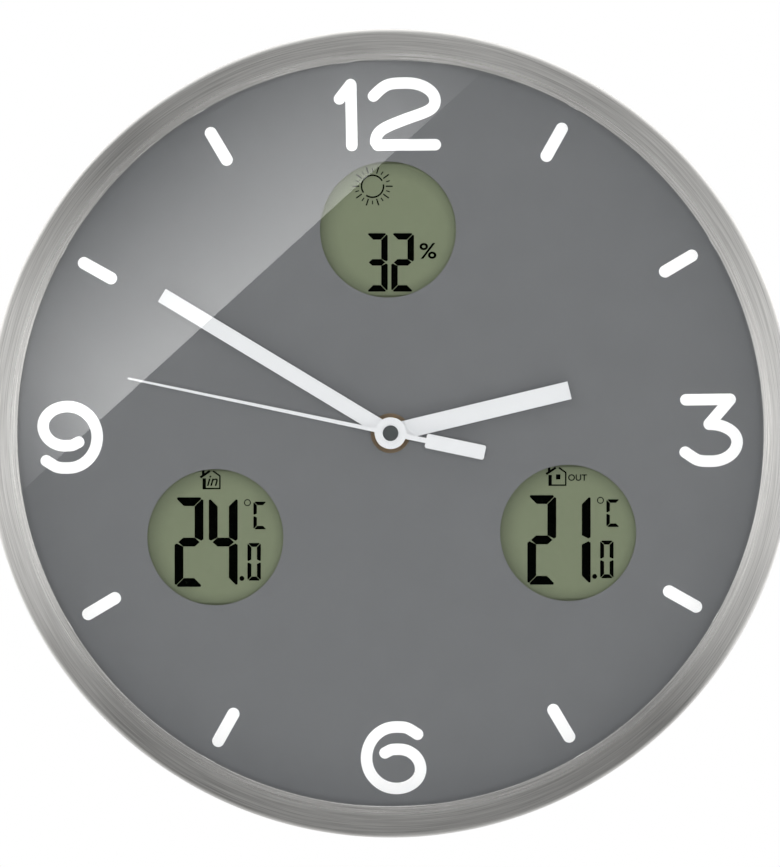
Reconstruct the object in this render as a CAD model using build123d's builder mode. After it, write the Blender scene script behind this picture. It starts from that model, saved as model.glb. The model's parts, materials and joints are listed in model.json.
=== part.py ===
from build123d import *
import os
from math import atan2, cos, degrees, pi, radians, sin

# A round wall clock with three liquid-crystal displays behind windows in its dial.
# The wall is the plane Y = 0 and the dial looks towards -Y, so "forward" below is a
# distance from the wall towards the viewer. +X is right and +Z is up for the viewer.
# The origin is the round hole of the hanging keyhole. All sizes are in millimetres.

os.makedirs("parts", exist_ok=True)

# The sizes below build the clock up from what it holds: the AA cell sets the movement, the
# movement and the displays set the dial, and the dial sets the bezel, 300 across.

# Bezel, a spun aluminium ring whose rear edge is rolled in behind the case
dial_border = 37.0
bezel_ring_width = 11.7
bezel_sheet = 1.2
bezel_rise = 3.5
bezel_lip_drop = 0.75
bezel_crest_inset = 0.9
bezel_shoulder_inset = 7.6
bezel_shoulder_drop = 0.35
bezel_edge_radius = 3.0
bezel_edge_drop = 4.9
bezel_edge_leans = (18, 42, 66, 90)
bezel_seat_width = 1.1
bezel_rear_lip = 3.4
bezel_rear_start = 1.0

# Back case, moulded in one piece
case_wall = 2.0
skirt_wall = 2.0
skirt_foot = 3.0
rib_count = 12
rib_length = 24.0
rib_height = 3.5
rib_wall = 1.5
bezel_fit = 0.4
lip_fit = 0.4

# Hanging keyhole, above the dial's centre
keyhole_board_gap = 0.6
keyhole_radius = 4.0
keyhole_slot_radius = 2.1
keyhole_travel = 9.0
keyhole_pocket_depth = 8.0
keyhole_pocket_margin = 2.5

# Glass, gasket, spacer and dial
dial_thickness = 1.5
dial_inset = 0.8
glass_gap = 1.4
spacer_wall = 1.2
spacer_inset = 0.6
spacer_hide = 1.0
gasket_thickness = 0.3
gasket_width = 6.0
lens_thickness = 2.0
lens_inset = 2.2

# Windows and displays
window_radius = 25.4
display_angles = {"humidity": 90, "indoor": 210, "outdoor": 330}
display_top_gap = 9.9
display_side_gap = 4.5
frame_wall = 3.0
frame_depth = 7.5
frame_lip = 1.0
frame_opening_margin = 0.6
panel_margin = 1.6
panel_thickness = 2.8
panel_ledge = 2.5
panel_fit = 0.2
strip_end_gap = 2.0
strip_width = 2.2
strip_inset = 1.3
board_thickness = 1.2
board_ear = 5.0
board_chip_radius = 5.0
board_chip_height = 1.0
board_chip_offset = 18.0
screw_inset = 4.0
screw_radius = 1.05
screw_length = 7.0
screw_head_radius = 2.3
screw_head_height = 1.4
screw_hole_fit = 0.05
screw_board_fit = 0.2
boss_radius = 3.0

# Quartz movement
movement_back = 2.0
movement_corner = 3.0
movement_bevel = 0.6
movement_wall = 1.5
movement_floor = 1.2
movement_plate = 3.0
movement_end_wall = 1.55
movement_low_wall = 1.7
movement_fit = 1.0
well_wall = 2.0
well_floor = 2.0
washer_thickness = 1.0
washer_radius = 8.0
bushing_radius = 4.0
bushing_rise = 3.5
bushing_hole_fit = 0.2
running_fit = 0.05
pivot_depth = 0.7

# Wheels: tooth counts, and modules that make the two paths to the centre equal
tooth_addendum = 0.85
tooth_dedendum = 1.15
tooth_root_share = 0.27
tooth_tip_share = 0.12
wheel_thickness = 0.6
pinion_teeth = 8
seconds_teeth = 40
third_teeth = 60
centre_teeth = 64
fifth_teeth = 48
cannon_teeth = 12
minute_teeth = 36
minute_pinion_teeth = 10
hour_teeth = 40
fifth_module = 0.25
seconds_module = 0.30
centre_module = 0.25
motion_module = 0.40
third_angle = 190.0
fifth_angle = 90.0
rotor_angle = 150.0
minute_angle = 350.0
knob_angle = 70.0
arbor_radius = 0.5
pivot_radius = 0.35
minute_tube_wall = 1.2
hour_tube_wall = 0.75
clutch_wall = 0.65

# Levels inside the movement, forward from the floor of its back cover
fifth_level = 0.5
rotor_pinion_level = 0.3
seconds_level = 1.7
stator_level = 2.2
magnet_level = 1.8
third_level = 3.6
bridge_level = 4.0
centre_level = 5.2
minute_level = 6.9
hour_level = 8.6
plate_gap = 2.1
train_gap = 0.82

# Motor
magnet_radius = 2.6
magnet_height = 1.8
stator_thickness = 1.0
stator_hole_gap = 0.4
stator_ring = 2.2
stator_leg = 5.0
coil_rise = 10.3
coil_shift = -7.94
coil_length = 20.0
coil_wall_gap = 1.9
coil_flange = 7.2
coil_flange_wall = 1.0
coil_radius = 3.3
bobbin_radius = 2.2
core_width = 2.4
core_thickness = 1.0
bridge_thickness = 0.8
bridge_foot_radius = 1.3
near_foot_reach = (7.5, 6.3)
far_foot_reach = (-6.9, 4.5)

# Movement electrics
movement_board_gap = 3.1
movement_board_width = 9.0
movement_board_thickness = 0.8
crystal_radius = 1.0
crystal_length = 6.0
aa_radius = 7.25
aa_length = 50.5
aa_nub_length = 1.3
aa_nub_radius = 2.75
aa_side_fit = 0.25
aa_back = 1.5
bay_wall = 0.75
bay_roof = 1.0
contact_sheet = 0.4
contact_width = 8.0
contact_room = 2.4
contact_tip = 1.2
contact_fold = 2.0
positive_contact_height = 12.0

# Setting knob
knob_radius = 5.0
knob_height = 1.3
knob_gap = 0.2
knob_stem_radius = 1.0
knob_flutes = 24

# Hands, lengths from the spindle, angles clockwise from twelve
hand_sheet = 0.5
hour_hand_length = 68.5
hour_hand_width = 6.75
hour_hand_angle = 77.2
hour_hub_radius = 5.3
minute_hand_length = 99.3
minute_hand_width = 5.66
minute_hand_angle = 301.8
minute_hub_radius = 5.3
second_hand_length = 99.7
second_hand_root_width = 1.6
second_hand_tip_width = 0.75
second_hand_angle = 282.5
second_hub_radius = 5.9
tail_neck_width = 1.9
tail_start = 13.4
tail_end = 35.8
tail_width = 5.4
tail_chamfer = 0.5
collet_wall = 0.85
collet_drop = 1.0
hand_gap = 0.3
cap_radius = 2.9
cap_height = 0.9
cap_bevel = 0.35
dial_washer_radius = 7.4
dial_washer_thickness = 0.5
nut_width = 11.0
nut_height = 2.5
nut_turn = 14.3

# Battery compartment of the displays
aaa_radius = 5.25
aaa_length = 44.5
aaa_nub_length = 1.0
aaa_nub_radius = 1.9
aaa_gap = 0.4
aaa_well_gap = 38.9
aaa_contact_room = 3.5
aaa_block_wall = 2.0
aaa_ledge = 2.0
aaa_roof = 1.6
door_thickness = 2.0
door_sink = 0.2
door_gap = 0.3
door_pin_radius = 0.6
door_pin_length = 1.2
door_latch_width = 8.0
door_latch_depth = 1.6
door_latch_wall = 1.0
door_latch_gap = 0.7
finger_notch_radius = 7.0
finger_notch_depth = 1.4
door_grooves = 4
door_groove_pitch = 1.8
door_groove_width = 0.8
door_groove_length = 18.0
door_groove_depth = 0.5
door_groove_inset = 6.0

# Buttons, switches, sensor, receiver and cables
button_radius = 3.4
button_gap = 0.1
button_spacing = 16.0
button_recess_length = 34.0
button_recess_width = 15.0
button_recess_depth = 1.0
button_wall = 2.2
button_sink = 0.3
button_bevel = 0.4
button_flange = 0.8
button_stem_radius = 1.6
button_travel = 0.6
button_rest_gap = 0.05
switch_size = 6.0
switch_height = 1.4
switch_gap = 0.2
sensor_size = 8.0
sensor_height = 3.0
vent_count = 7
vent_pitch = 4.0
vent_length = 16.0
vent_width = 1.6
receiver_gap = 10.3
receiver_up = -14.0
receiver_length = 24.0
receiver_width = 16.0
receiver_thickness = 1.0
receiver_forward = 8.0
can_length = 12.0
can_width = 12.0
can_height = 2.5
can_inset = 1.5
antenna_radius = 0.5
antenna_inset = 4.0
antenna_sweep = 68.0
antenna_post_radius = 1.5
antenna_posts = 3
antenna_post_first = 12.0
antenna_post_step = 20.0
ribbon_width = 7.0
ribbon_thickness = 0.6
ribbon_reach = 14.0

# Hidden round bosses, screws and wire repeat often, so they are drawn with flat sides
boss_sides = 8
wire_sides = 6


def polar(distance, angle, start=(0.0, 0.0)):
    """A place on the dial, by distance and angle from a starting place."""
    return (start[0] + distance * cos(radians(angle)), start[1] + distance * sin(radians(angle)))


def gear_distance(teeth, mate_teeth, module):
    """How far apart two meshing gears turn."""
    return (teeth + mate_teeth) * module / 2


def meshed_tooth(teeth, mate_teeth, mate_first_tooth, direction):
    """The first tooth's angle that puts a gap of this gear on a tooth of its mate.

    The direction is that of this gear, seen from its mate.
    """
    mate_share = mate_teeth * (direction - mate_first_tooth) / 360
    return direction + 180 - (0.5 - mate_share) * 360 / teeth


# Places of the wheels. The centre wheel and the seconds pinion share the spindle, so the third
# wheel's module follows from the distance that its own pinion sets.
third_distance = gear_distance(centre_teeth, pinion_teeth, centre_module)
third_module = 2 * third_distance / (third_teeth + pinion_teeth)
fifth_distance = gear_distance(seconds_teeth, pinion_teeth, seconds_module)
rotor_distance = gear_distance(fifth_teeth, pinion_teeth, fifth_module)
minute_distance = gear_distance(minute_teeth, cannon_teeth, motion_module)
hour_module = 2 * minute_distance / (hour_teeth + minute_pinion_teeth)
knob_distance = gear_distance(minute_teeth, cannon_teeth, motion_module)

third_place = polar(third_distance, third_angle)
fifth_place = polar(fifth_distance, fifth_angle)
rotor_place = polar(rotor_distance, rotor_angle, fifth_place)
minute_place = polar(minute_distance, minute_angle)
knob_place = polar(knob_distance, knob_angle, minute_place)

third_first_tooth = meshed_tooth(third_teeth, pinion_teeth, 0, third_angle)
centre_first_tooth = meshed_tooth(centre_teeth, pinion_teeth, 0, third_angle + 180)
fifth_first_tooth = meshed_tooth(pinion_teeth, seconds_teeth, 0, fifth_angle)
rotor_first_tooth = meshed_tooth(pinion_teeth, fifth_teeth, 0, rotor_angle)
minute_first_tooth = meshed_tooth(minute_teeth, cannon_teeth, 0, minute_angle)
hour_first_tooth = meshed_tooth(hour_teeth, minute_pinion_teeth, 0, minute_angle + 180)
knob_first_tooth = meshed_tooth(cannon_teeth, minute_teeth, minute_first_tooth, knob_angle)

# Tubes and arbors on the spindle, each running in the next
minute_tube_radius = arbor_radius + running_fit + minute_tube_wall
hour_tube_radius = minute_tube_radius + running_fit + hour_tube_wall
clutch_radius = arbor_radius + running_fit + clutch_wall
cannon_collar_radius = clutch_radius + clutch_wall

# Rises above the dial, stacked up from the bushing
hour_hand_rise = bushing_rise + hand_gap + collet_drop
minute_hand_rise = hour_hand_rise + 2 * hand_sheet + hand_gap + collet_drop
second_hand_rise = minute_hand_rise + 2 * hand_sheet + hand_gap + collet_drop
hand_room = second_hand_rise + hand_sheet + cap_height + glass_gap

# Distances from the wall, stacked up from the movement
train_floor = movement_back + movement_floor
train_depth = movement_floor + hour_level + wheel_thickness + plate_gap + movement_plate
bay_depth = aa_side_fit + 2 * aa_radius + bay_roof
movement_front = max(movement_back + train_depth, aa_back + bay_depth)
movement_split = movement_front - movement_plate
well_back = movement_front + washer_thickness
case_depth = well_back + well_floor
dial_back = case_depth
dial_front = dial_back + dial_thickness
spacer_front = dial_front + hand_room
lens_back = spacer_front + gasket_thickness
lens_front = lens_back + lens_thickness
bezel_crest = lens_front + bezel_rise
frame_back = dial_back - frame_depth
board_back = frame_back - board_thickness
panel_front = dial_back - frame_lip
panel_back = panel_front - panel_thickness
bushing_front = dial_front + bushing_rise
aa_forward = movement_front - bay_roof - aa_side_fit - aa_radius

# The movement's outline: the train, the battery bay below it and the coil above it
bay_length = aa_length + contact_room
third_tip_radius = (third_teeth / 2 + tooth_addendum) * third_module
train_low = third_place[1] - third_tip_radius - train_gap
bay_high = train_low - bay_wall
aa_up = bay_high - aa_side_fit - aa_radius
bay_low = aa_up - aa_radius - aa_side_fit
coil_across = rotor_place[0] + coil_shift
coil_up = rotor_place[1] + coil_rise
train_high = coil_up + coil_flange / 2 + coil_wall_gap
movement_high = train_high + movement_wall
movement_low = bay_low - movement_low_wall
movement_width = bay_length + 2 * movement_end_wall
movement_height = movement_high - movement_low
movement_middle = (movement_high + movement_low) / 2
well_width = movement_width + 2 * movement_fit
well_height = movement_height + 2 * movement_fit
well_high = movement_high + movement_fit + well_wall
well_low = movement_low - movement_fit - well_wall

# The dial, outwards from the movement and the windows
panel_size = 2 * (window_radius + panel_margin)
frame_size = panel_size + 2 * frame_wall
board_height = frame_size + 2 * board_ear
side_slant = cos(radians(display_angles["outdoor"]))
display_circle = max(
    well_high + board_height / 2 + display_top_gap,
    (well_width / 2 + well_wall + frame_size / 2 + display_side_gap) / side_slant,
)
view_radius = display_circle + window_radius + dial_border
clock_radius = view_radius + bezel_ring_width
bezel_inside = clock_radius - bezel_sheet
case_radius = bezel_inside - bezel_fit
lip_radius = clock_radius - bezel_rear_lip
rebate_radius = lip_radius - lip_fit
rebate_depth = bezel_rear_start + bezel_sheet + bezel_fit / 2
dial_radius = bezel_inside - dial_inset
lens_radius = bezel_inside - lens_inset
spacer_radius = bezel_inside - spacer_inset
spacer_inner_radius = view_radius + spacer_hide

# The keyhole is above the top display and the dial's centre hangs below it
keyhole_pocket_reach = keyhole_radius + keyhole_pocket_margin
keyhole_rise = display_circle + board_height / 2 + keyhole_board_gap + case_wall + keyhole_pocket_reach
dial_height = -keyhole_rise
receiver_across = display_circle * side_slant + frame_size / 2 + receiver_gap + receiver_length / 2
antenna_circle = receiver_across + receiver_length / 2 - antenna_inset


def facing(forward, across=0.0, up=0.0):
    """A drawing plane that looks at the viewer, measured from the wall and the dial's centre."""
    return Plane(origin=(across, -forward, dial_height + up), x_dir=(1, 0, 0), z_dir=(0, -1, 0))


def side_on(across, up=0.0):
    """A drawing plane across the clock: its X is up and its Y is forward."""
    return Plane(origin=(across, 0, dial_height + up), x_dir=(0, 0, 1), z_dir=(1, 0, 0))


def radial(angle=0.0):
    """A plane through the spindle: its X is outward at the angle and its Y is forward."""
    turn = radians(angle)
    return Plane(
        origin=(0, 0, dial_height),
        x_dir=(cos(turn), 0, sin(turn)),
        z_dir=(sin(turn), 0, -cos(turn)),
    )


def along_hand(forward, clock_angle):
    """A plane whose Y runs from the spindle to the tip of a hand."""
    turn = radians(clock_angle)
    return Plane(origin=(0, -forward, dial_height), x_dir=(cos(turn), 0, -sin(turn)), z_dir=(0, -1, 0))


spindle = Axis((0, 0, dial_height), (0, 1, 0))


# Gears
def gear_outline(teeth, module, first_tooth):
    """The corners of a gear, four to a tooth, with its first tooth's middle at an angle."""
    pitch_radius = teeth * module / 2
    root = pitch_radius - tooth_dedendum * module
    tip = pitch_radius + tooth_addendum * module
    pitch_angle = 2 * pi / teeth
    corners = []
    for tooth in range(teeth):
        middle = radians(first_tooth) + tooth * pitch_angle
        for radius, share in (
            (root, -tooth_root_share),
            (tip, -tooth_tip_share),
            (tip, tooth_tip_share),
            (root, tooth_root_share),
        ):
            angle = middle + share * pitch_angle
            corners.append((radius * cos(angle), radius * sin(angle)))
    return corners


def gear_face(plane, teeth, module, first_tooth=0.0):
    """A flat gear on a plane."""
    with BuildSketch(plane) as face:
        with BuildLine():
            Polyline(*gear_outline(teeth, module, first_tooth), close=True)
        make_face()
    return face.sketch


# Bezel: a wall at the glass, a gentle fall from the crest, and a rounding into the side
with BuildPart() as bezel:
    shoulder_radius = clock_radius - bezel_shoulder_inset
    shoulder = bezel_crest - bezel_shoulder_drop
    round_radius = clock_radius - bezel_edge_radius
    round_forward = bezel_crest - bezel_edge_drop
    rounding = []
    for lean in bezel_edge_leans:
        outward = bezel_edge_radius * sin(radians(lean))
        forward = bezel_edge_radius * cos(radians(lean))
        rounding.append((round_radius + outward, round_forward + forward))
    with BuildSketch(radial()):
        with BuildLine():
            Polyline(
                (view_radius, lens_front),
                (view_radius, bezel_crest - bezel_lip_drop),
                (view_radius + bezel_crest_inset, bezel_crest),
                (shoulder_radius, shoulder),
                *rounding,
                (clock_radius, bezel_rear_start),
                (lip_radius, bezel_rear_start),
                (lip_radius, bezel_rear_start + bezel_sheet),
                (bezel_inside, bezel_rear_start + bezel_sheet),
                (bezel_inside, round_forward),
                (round_radius, round_forward + bezel_edge_radius - bezel_sheet),
                (shoulder_radius, shoulder - bezel_sheet),
                (view_radius + bezel_seat_width, lens_front),
                close=True,
            )
        make_face()
    revolve(axis=spindle)
bezel.part.label = "bezel"
export_step(bezel.part, "parts/bezel.step")


# Glass, its gasket and the spacer ring that keeps it clear of the hands
with BuildPart() as lens:
    with BuildSketch(facing(lens_back)):
        Circle(lens_radius)
    extrude(amount=lens_thickness)
lens.part.label = "lens"
export_step(lens.part, "parts/lens.step")

with BuildPart() as lens_gasket:
    with BuildSketch(facing(spacer_front)):
        Circle(lens_radius)
        Circle(lens_radius - gasket_width, mode=Mode.SUBTRACT)
    extrude(amount=gasket_thickness)
lens_gasket.part.label = "lens_gasket"
export_step(lens_gasket.part, "parts/lens_gasket.step")

with BuildPart() as spacer_ring:
    with BuildSketch(radial()):
        with BuildLine():
            Polyline(
                (spacer_inner_radius, spacer_front),
                (spacer_radius, spacer_front),
                (spacer_radius, spacer_front - spacer_wall),
                (spacer_inner_radius + spacer_wall, spacer_front - spacer_wall),
                (spacer_inner_radius + spacer_wall, dial_front),
                (spacer_inner_radius, dial_front),
                close=True,
            )
        make_face()
    revolve(axis=spindle)
spacer_ring.part.label = "spacer_ring"
export_step(spacer_ring.part, "parts/spacer_ring.step")

with BuildPart() as dial_plate:
    with BuildSketch(facing(dial_back)):
        Circle(dial_radius)
        Circle(bushing_radius + bushing_hole_fit, mode=Mode.SUBTRACT)
        with PolarLocations(display_circle, len(display_angles), start_angle=90):
            Circle(window_radius, mode=Mode.SUBTRACT)
    extrude(amount=dial_thickness)
dial_plate.part.label = "dial_plate"
export_step(dial_plate.part, "parts/dial_plate.step")


# Back case
aaa_inner_length = aaa_length + 2 * aaa_contact_room
aaa_inner_width = 4 * aaa_radius + 3 * aaa_gap
aaa_recess_length = aaa_inner_length + 2 * aaa_ledge
aaa_recess_width = aaa_inner_width + 2 * aaa_ledge
aaa_recess_depth = door_sink + door_thickness
aaa_forward = aaa_recess_depth + aaa_gap / 2 + aaa_radius
aaa_inner_front = aaa_forward + aaa_radius + aaa_gap / 2
aaa_up = well_low - aaa_well_gap - aaa_block_wall - aaa_recess_width / 2
door_length = aaa_recess_length - 2 * door_gap
door_width = aaa_recess_width - 2 * door_gap
pin_up = aaa_up - door_width / 2 + door_thickness / 2
pin_forward = door_sink + door_thickness / 2
button_place = polar(display_circle, display_angles["outdoor"])
sensor_place = polar(display_circle, display_angles["humidity"])
screw_across = frame_size - 2 * screw_inset
screw_up = frame_size + board_ear
boss_hole_back = frame_back - screw_length - screw_hole_fit
keyhole_pocket_width = 2 * keyhole_pocket_reach
keyhole_pocket_height = keyhole_travel + 2 * keyhole_pocket_reach
keyhole_pocket_middle = keyhole_rise + keyhole_travel / 2

with BuildPart() as back_case:
    # Rear wall and skirt, stepped in behind for the bezel's rolled lip
    with BuildSketch(radial()):
        with BuildLine():
            Polyline(
                (0, 0),
                (rebate_radius, 0),
                (rebate_radius, rebate_depth),
                (case_radius, rebate_depth),
                (case_radius, case_depth),
                (case_radius - skirt_wall, case_depth),
                (case_radius - skirt_wall, rebate_depth + skirt_foot),
                (rebate_radius - skirt_wall, rebate_depth + skirt_foot),
                (rebate_radius - skirt_wall, case_wall),
                (0, case_wall),
                close=True,
            )
        make_face()
    revolve(axis=spindle)

    # Stiffening ribs round the rim
    rib_circle = rebate_radius - skirt_wall - rib_length / 2
    with BuildSketch(facing(case_wall)):
        with PolarLocations(rib_circle, rib_count, start_angle=180 / rib_count):
            Rectangle(rib_length, rib_wall)
    extrude(amount=rib_height)

    # Square well that the movement sits in, open to the rear
    with BuildSketch(facing(0, up=movement_middle)):
        Rectangle(well_width + 2 * well_wall, well_height + 2 * well_wall)
    extrude(amount=case_depth)
    with BuildSketch(facing(0, up=movement_middle)):
        Rectangle(well_width, well_height)
    extrude(amount=well_back, mode=Mode.SUBTRACT)
    with BuildSketch(facing(well_back)):
        Circle(bushing_radius + bushing_hole_fit)
    extrude(amount=well_floor, mode=Mode.SUBTRACT)

    # Bosses that carry the three display boards
    with BuildSketch(facing(case_wall)):
        with PolarLocations(display_circle, len(display_angles), start_angle=90, rotate=False):
            with GridLocations(screw_across, screw_up, 2, 2):
                RegularPolygon(boss_radius, boss_sides)
    extrude(amount=board_back - case_wall)
    with BuildSketch(facing(boss_hole_back)):
        with PolarLocations(display_circle, len(display_angles), start_angle=90, rotate=False):
            with GridLocations(screw_across, screw_up, 2, 2):
                RegularPolygon(screw_radius + screw_hole_fit, boss_sides)
    extrude(amount=board_back - boss_hole_back, mode=Mode.SUBTRACT)

    # Battery compartment with a ledge for its door
    with BuildSketch(facing(0, up=aaa_up)):
        Rectangle(aaa_recess_length + 2 * aaa_block_wall, aaa_recess_width + 2 * aaa_block_wall)
    extrude(amount=aaa_inner_front + aaa_roof)
    with BuildSketch(facing(0, up=aaa_up)):
        Rectangle(aaa_inner_length, aaa_inner_width)
    extrude(amount=aaa_inner_front, mode=Mode.SUBTRACT)
    with BuildSketch(facing(0, up=aaa_up)):
        Rectangle(aaa_recess_length, aaa_recess_width)
    extrude(amount=aaa_recess_depth, mode=Mode.SUBTRACT)
    with BuildSketch(side_on(-aaa_recess_length / 2 - door_pin_length, pin_up)):
        with Locations((0, pin_forward)):
            Circle(door_pin_radius + running_fit)
    extrude(amount=aaa_recess_length + 2 * door_pin_length, mode=Mode.SUBTRACT)
    with BuildSketch(facing(0, up=aaa_up + aaa_recess_width / 2)):
        Circle(finger_notch_radius)
    extrude(amount=finger_notch_depth, mode=Mode.SUBTRACT)

    # Recess and holes for the two buttons behind the outdoor display
    with BuildSketch(facing(0, *button_place)):
        SlotOverall(button_recess_length + 2 * case_wall, button_recess_width + 2 * case_wall)
    extrude(amount=button_recess_depth + button_wall)
    with BuildSketch(facing(0, *button_place)):
        SlotOverall(button_recess_length, button_recess_width)
    extrude(amount=button_recess_depth, mode=Mode.SUBTRACT)
    with BuildSketch(facing(0, *button_place)):
        with GridLocations(button_spacing, 0, 2, 1):
            Circle(button_radius + button_gap)
    extrude(amount=button_recess_depth + button_wall, mode=Mode.SUBTRACT)

    # Slots that let room air reach the sensor
    with BuildSketch(facing(0, *sensor_place)):
        with GridLocations(vent_pitch, 0, vent_count, 1):
            Rectangle(vent_width, vent_length)
    extrude(amount=case_wall, mode=Mode.SUBTRACT)

    # Posts for the radio receiver and its antenna wire
    with BuildSketch(facing(case_wall, receiver_across, receiver_up)):
        with GridLocations(receiver_length - 2 * boss_radius, 0, 2, 1):
            RegularPolygon(boss_radius, boss_sides)
    extrude(amount=receiver_forward - case_wall)
    with BuildSketch(facing(case_wall)):
        with PolarLocations(
            antenna_circle,
            antenna_posts,
            start_angle=antenna_post_first,
            angular_range=antenna_posts * antenna_post_step,
        ):
            RegularPolygon(antenna_post_radius, boss_sides)
    extrude(amount=receiver_forward + receiver_thickness - case_wall)

    # Keyhole with a closed pocket behind it for the screw's head
    with BuildSketch(facing(case_wall, up=keyhole_pocket_middle)):
        Rectangle(keyhole_pocket_width + 2 * case_wall, keyhole_pocket_height + 2 * case_wall)
    extrude(amount=keyhole_pocket_depth + case_wall)
    with BuildSketch(facing(case_wall, up=keyhole_pocket_middle)):
        Rectangle(keyhole_pocket_width, keyhole_pocket_height)
    extrude(amount=keyhole_pocket_depth, mode=Mode.SUBTRACT)
    with BuildSketch(facing(0, up=keyhole_rise)):
        Circle(keyhole_radius)
        with Locations((0, keyhole_travel / 2)):
            Rectangle(2 * keyhole_slot_radius, keyhole_travel)
        with Locations((0, keyhole_travel)):
            Circle(keyhole_slot_radius)
    extrude(amount=case_wall, mode=Mode.SUBTRACT)
back_case.part.label = "back_case"
export_step(back_case.part, "parts/back_case.step")


# The three displays: frame, panel, connector strips and board
panel_pocket = panel_size + 2 * panel_fit
for room, angle in display_angles.items():
    across, up = polar(display_circle, angle)

    with BuildPart() as display_frame:
        with BuildSketch(facing(frame_back, across, up)):
            Rectangle(frame_size, frame_size)
        extrude(amount=frame_depth)
        with BuildSketch(facing(frame_back, across, up)):
            Rectangle(panel_pocket, panel_pocket)
        extrude(amount=frame_depth - frame_lip, mode=Mode.SUBTRACT)
        with BuildSketch(facing(panel_front, across, up)):
            Circle(window_radius + frame_opening_margin)
        extrude(amount=frame_lip, mode=Mode.SUBTRACT)
    display_frame.part.label = f"{room}_display_frame"
    export_step(display_frame.part, f"parts/{room}_display_frame.step")

    # Two glass plates: the rear one is taller and carries the contacts
    with BuildPart() as lcd_panel:
        with BuildSketch(facing(panel_back, across, up)):
            Rectangle(panel_size, panel_size)
        extrude(amount=panel_thickness / 2)
        with BuildSketch(facing(panel_back + panel_thickness / 2, across, up)):
            Rectangle(panel_size, panel_size - 2 * panel_ledge)
        extrude(amount=panel_thickness / 2)
    lcd_panel.part.label = f"{room}_lcd_panel"
    export_step(lcd_panel.part, f"parts/{room}_lcd_panel.step")

    with BuildPart() as connectors:
        with BuildSketch(facing(frame_back, across, up)):
            with GridLocations(0, panel_size - 2 * strip_inset, 1, 2):
                Rectangle(panel_size - 2 * strip_end_gap, strip_width)
        extrude(amount=panel_back - frame_back)
    connectors.part.label = f"{room}_connector_strips"
    export_step(connectors.part, f"parts/{room}_connector_strips.step")

    with BuildPart() as board:
        with BuildSketch(facing(board_back, across, up)):
            Rectangle(frame_size, board_height)
            with GridLocations(screw_across, screw_up, 2, 2):
                RegularPolygon(screw_radius + screw_board_fit, boss_sides, mode=Mode.SUBTRACT)
        extrude(amount=board_thickness)
        with BuildSketch(facing(board_back, across, up + board_chip_offset)):
            Circle(board_chip_radius)
        extrude(amount=-board_chip_height)
    board.part.label = f"{room}_board"
    export_step(board.part, f"parts/{room}_board.step")

with BuildPart() as display_screws:
    with BuildSketch(facing(frame_back - screw_length)):
        with PolarLocations(display_circle, len(display_angles), start_angle=90, rotate=False):
            with GridLocations(screw_across, screw_up, 2, 2):
                RegularPolygon(screw_radius, boss_sides)
    extrude(amount=screw_length)
    with BuildSketch(facing(frame_back)):
        with PolarLocations(display_circle, len(display_angles), start_angle=90, rotate=False):
            with GridLocations(screw_across, screw_up, 2, 2):
                RegularPolygon(screw_head_radius, boss_sides)
    extrude(amount=screw_head_height)
display_screws.part.label = "display_screws"
export_step(display_screws.part, "parts/display_screws.step")


# Movement housing
movement_inner = movement_width - 2 * movement_wall
pivots = (third_place, fifth_place, rotor_place, minute_place)

with BuildPart() as movement_back_cover:
    with BuildSketch(facing(movement_back, up=movement_middle)):
        RectangleRounded(movement_width, movement_height, movement_corner)
    extrude(amount=movement_split - movement_back)
    chamfer(movement_back_cover.faces().sort_by(Axis.Y)[-1].edges(), movement_bevel)
    # Room for the train, open to the front, and the battery bay, open to the rear
    with BuildSketch(facing(train_floor, up=(train_low + train_high) / 2)):
        Rectangle(movement_inner, train_high - train_low)
    extrude(amount=movement_split - train_floor, mode=Mode.SUBTRACT)
    with BuildSketch(facing(movement_back, up=aa_up)):
        Rectangle(bay_length, bay_high - bay_low)
    extrude(amount=movement_split - movement_back, mode=Mode.SUBTRACT)
    # Pivot holes, the seconds arbor's hole and the knob's way out
    with BuildSketch(facing(train_floor - pivot_depth)):
        with Locations(*pivots):
            Circle(pivot_radius + running_fit)
        Circle(arbor_radius + running_fit)
    extrude(amount=pivot_depth, mode=Mode.SUBTRACT)
    with BuildSketch(facing(movement_back, *knob_place)):
        Circle(knob_stem_radius + running_fit)
    extrude(amount=movement_floor, mode=Mode.SUBTRACT)
movement_back_cover.part.label = "movement_back_cover"
export_step(movement_back_cover.part, "parts/movement_back_cover.step")

with BuildPart() as movement_front_case:
    with BuildSketch(facing(movement_split, up=movement_middle)):
        RectangleRounded(movement_width, movement_height, movement_corner)
    extrude(amount=movement_plate)
    with BuildSketch(facing(movement_front)):
        Circle(bushing_radius)
    extrude(amount=bushing_front - movement_front)
    with BuildSketch(facing(movement_split)):
        Circle(hour_tube_radius + running_fit)
    extrude(amount=bushing_front - movement_split, mode=Mode.SUBTRACT)
    with BuildSketch(facing(movement_split)):
        with Locations(third_place, minute_place, knob_place):
            Circle(pivot_radius + running_fit)
    extrude(amount=pivot_depth, mode=Mode.SUBTRACT)
    # Trough for the front of the battery
    with BuildSketch(facing(movement_split, up=aa_up)):
        Rectangle(bay_length, bay_high - bay_low)
    extrude(amount=aa_forward + aa_radius + aa_side_fit - movement_split, mode=Mode.SUBTRACT)
movement_front_case.part.label = "movement_front_case"
export_step(movement_front_case.part, "parts/movement_front_case.step")

with BuildPart() as rubber_washer:
    with BuildSketch(facing(movement_front)):
        Circle(washer_radius)
        Circle(bushing_radius, mode=Mode.SUBTRACT)
    extrude(amount=washer_thickness)
rubber_washer.part.label = "rubber_washer"
export_step(rubber_washer.part, "parts/rubber_washer.step")

with BuildPart() as dial_washer:
    with BuildSketch(facing(dial_front)):
        Circle(dial_washer_radius)
        Circle(bushing_radius, mode=Mode.SUBTRACT)
    extrude(amount=dial_washer_thickness)
dial_washer.part.label = "dial_washer"
export_step(dial_washer.part, "parts/dial_washer.step")

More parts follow.
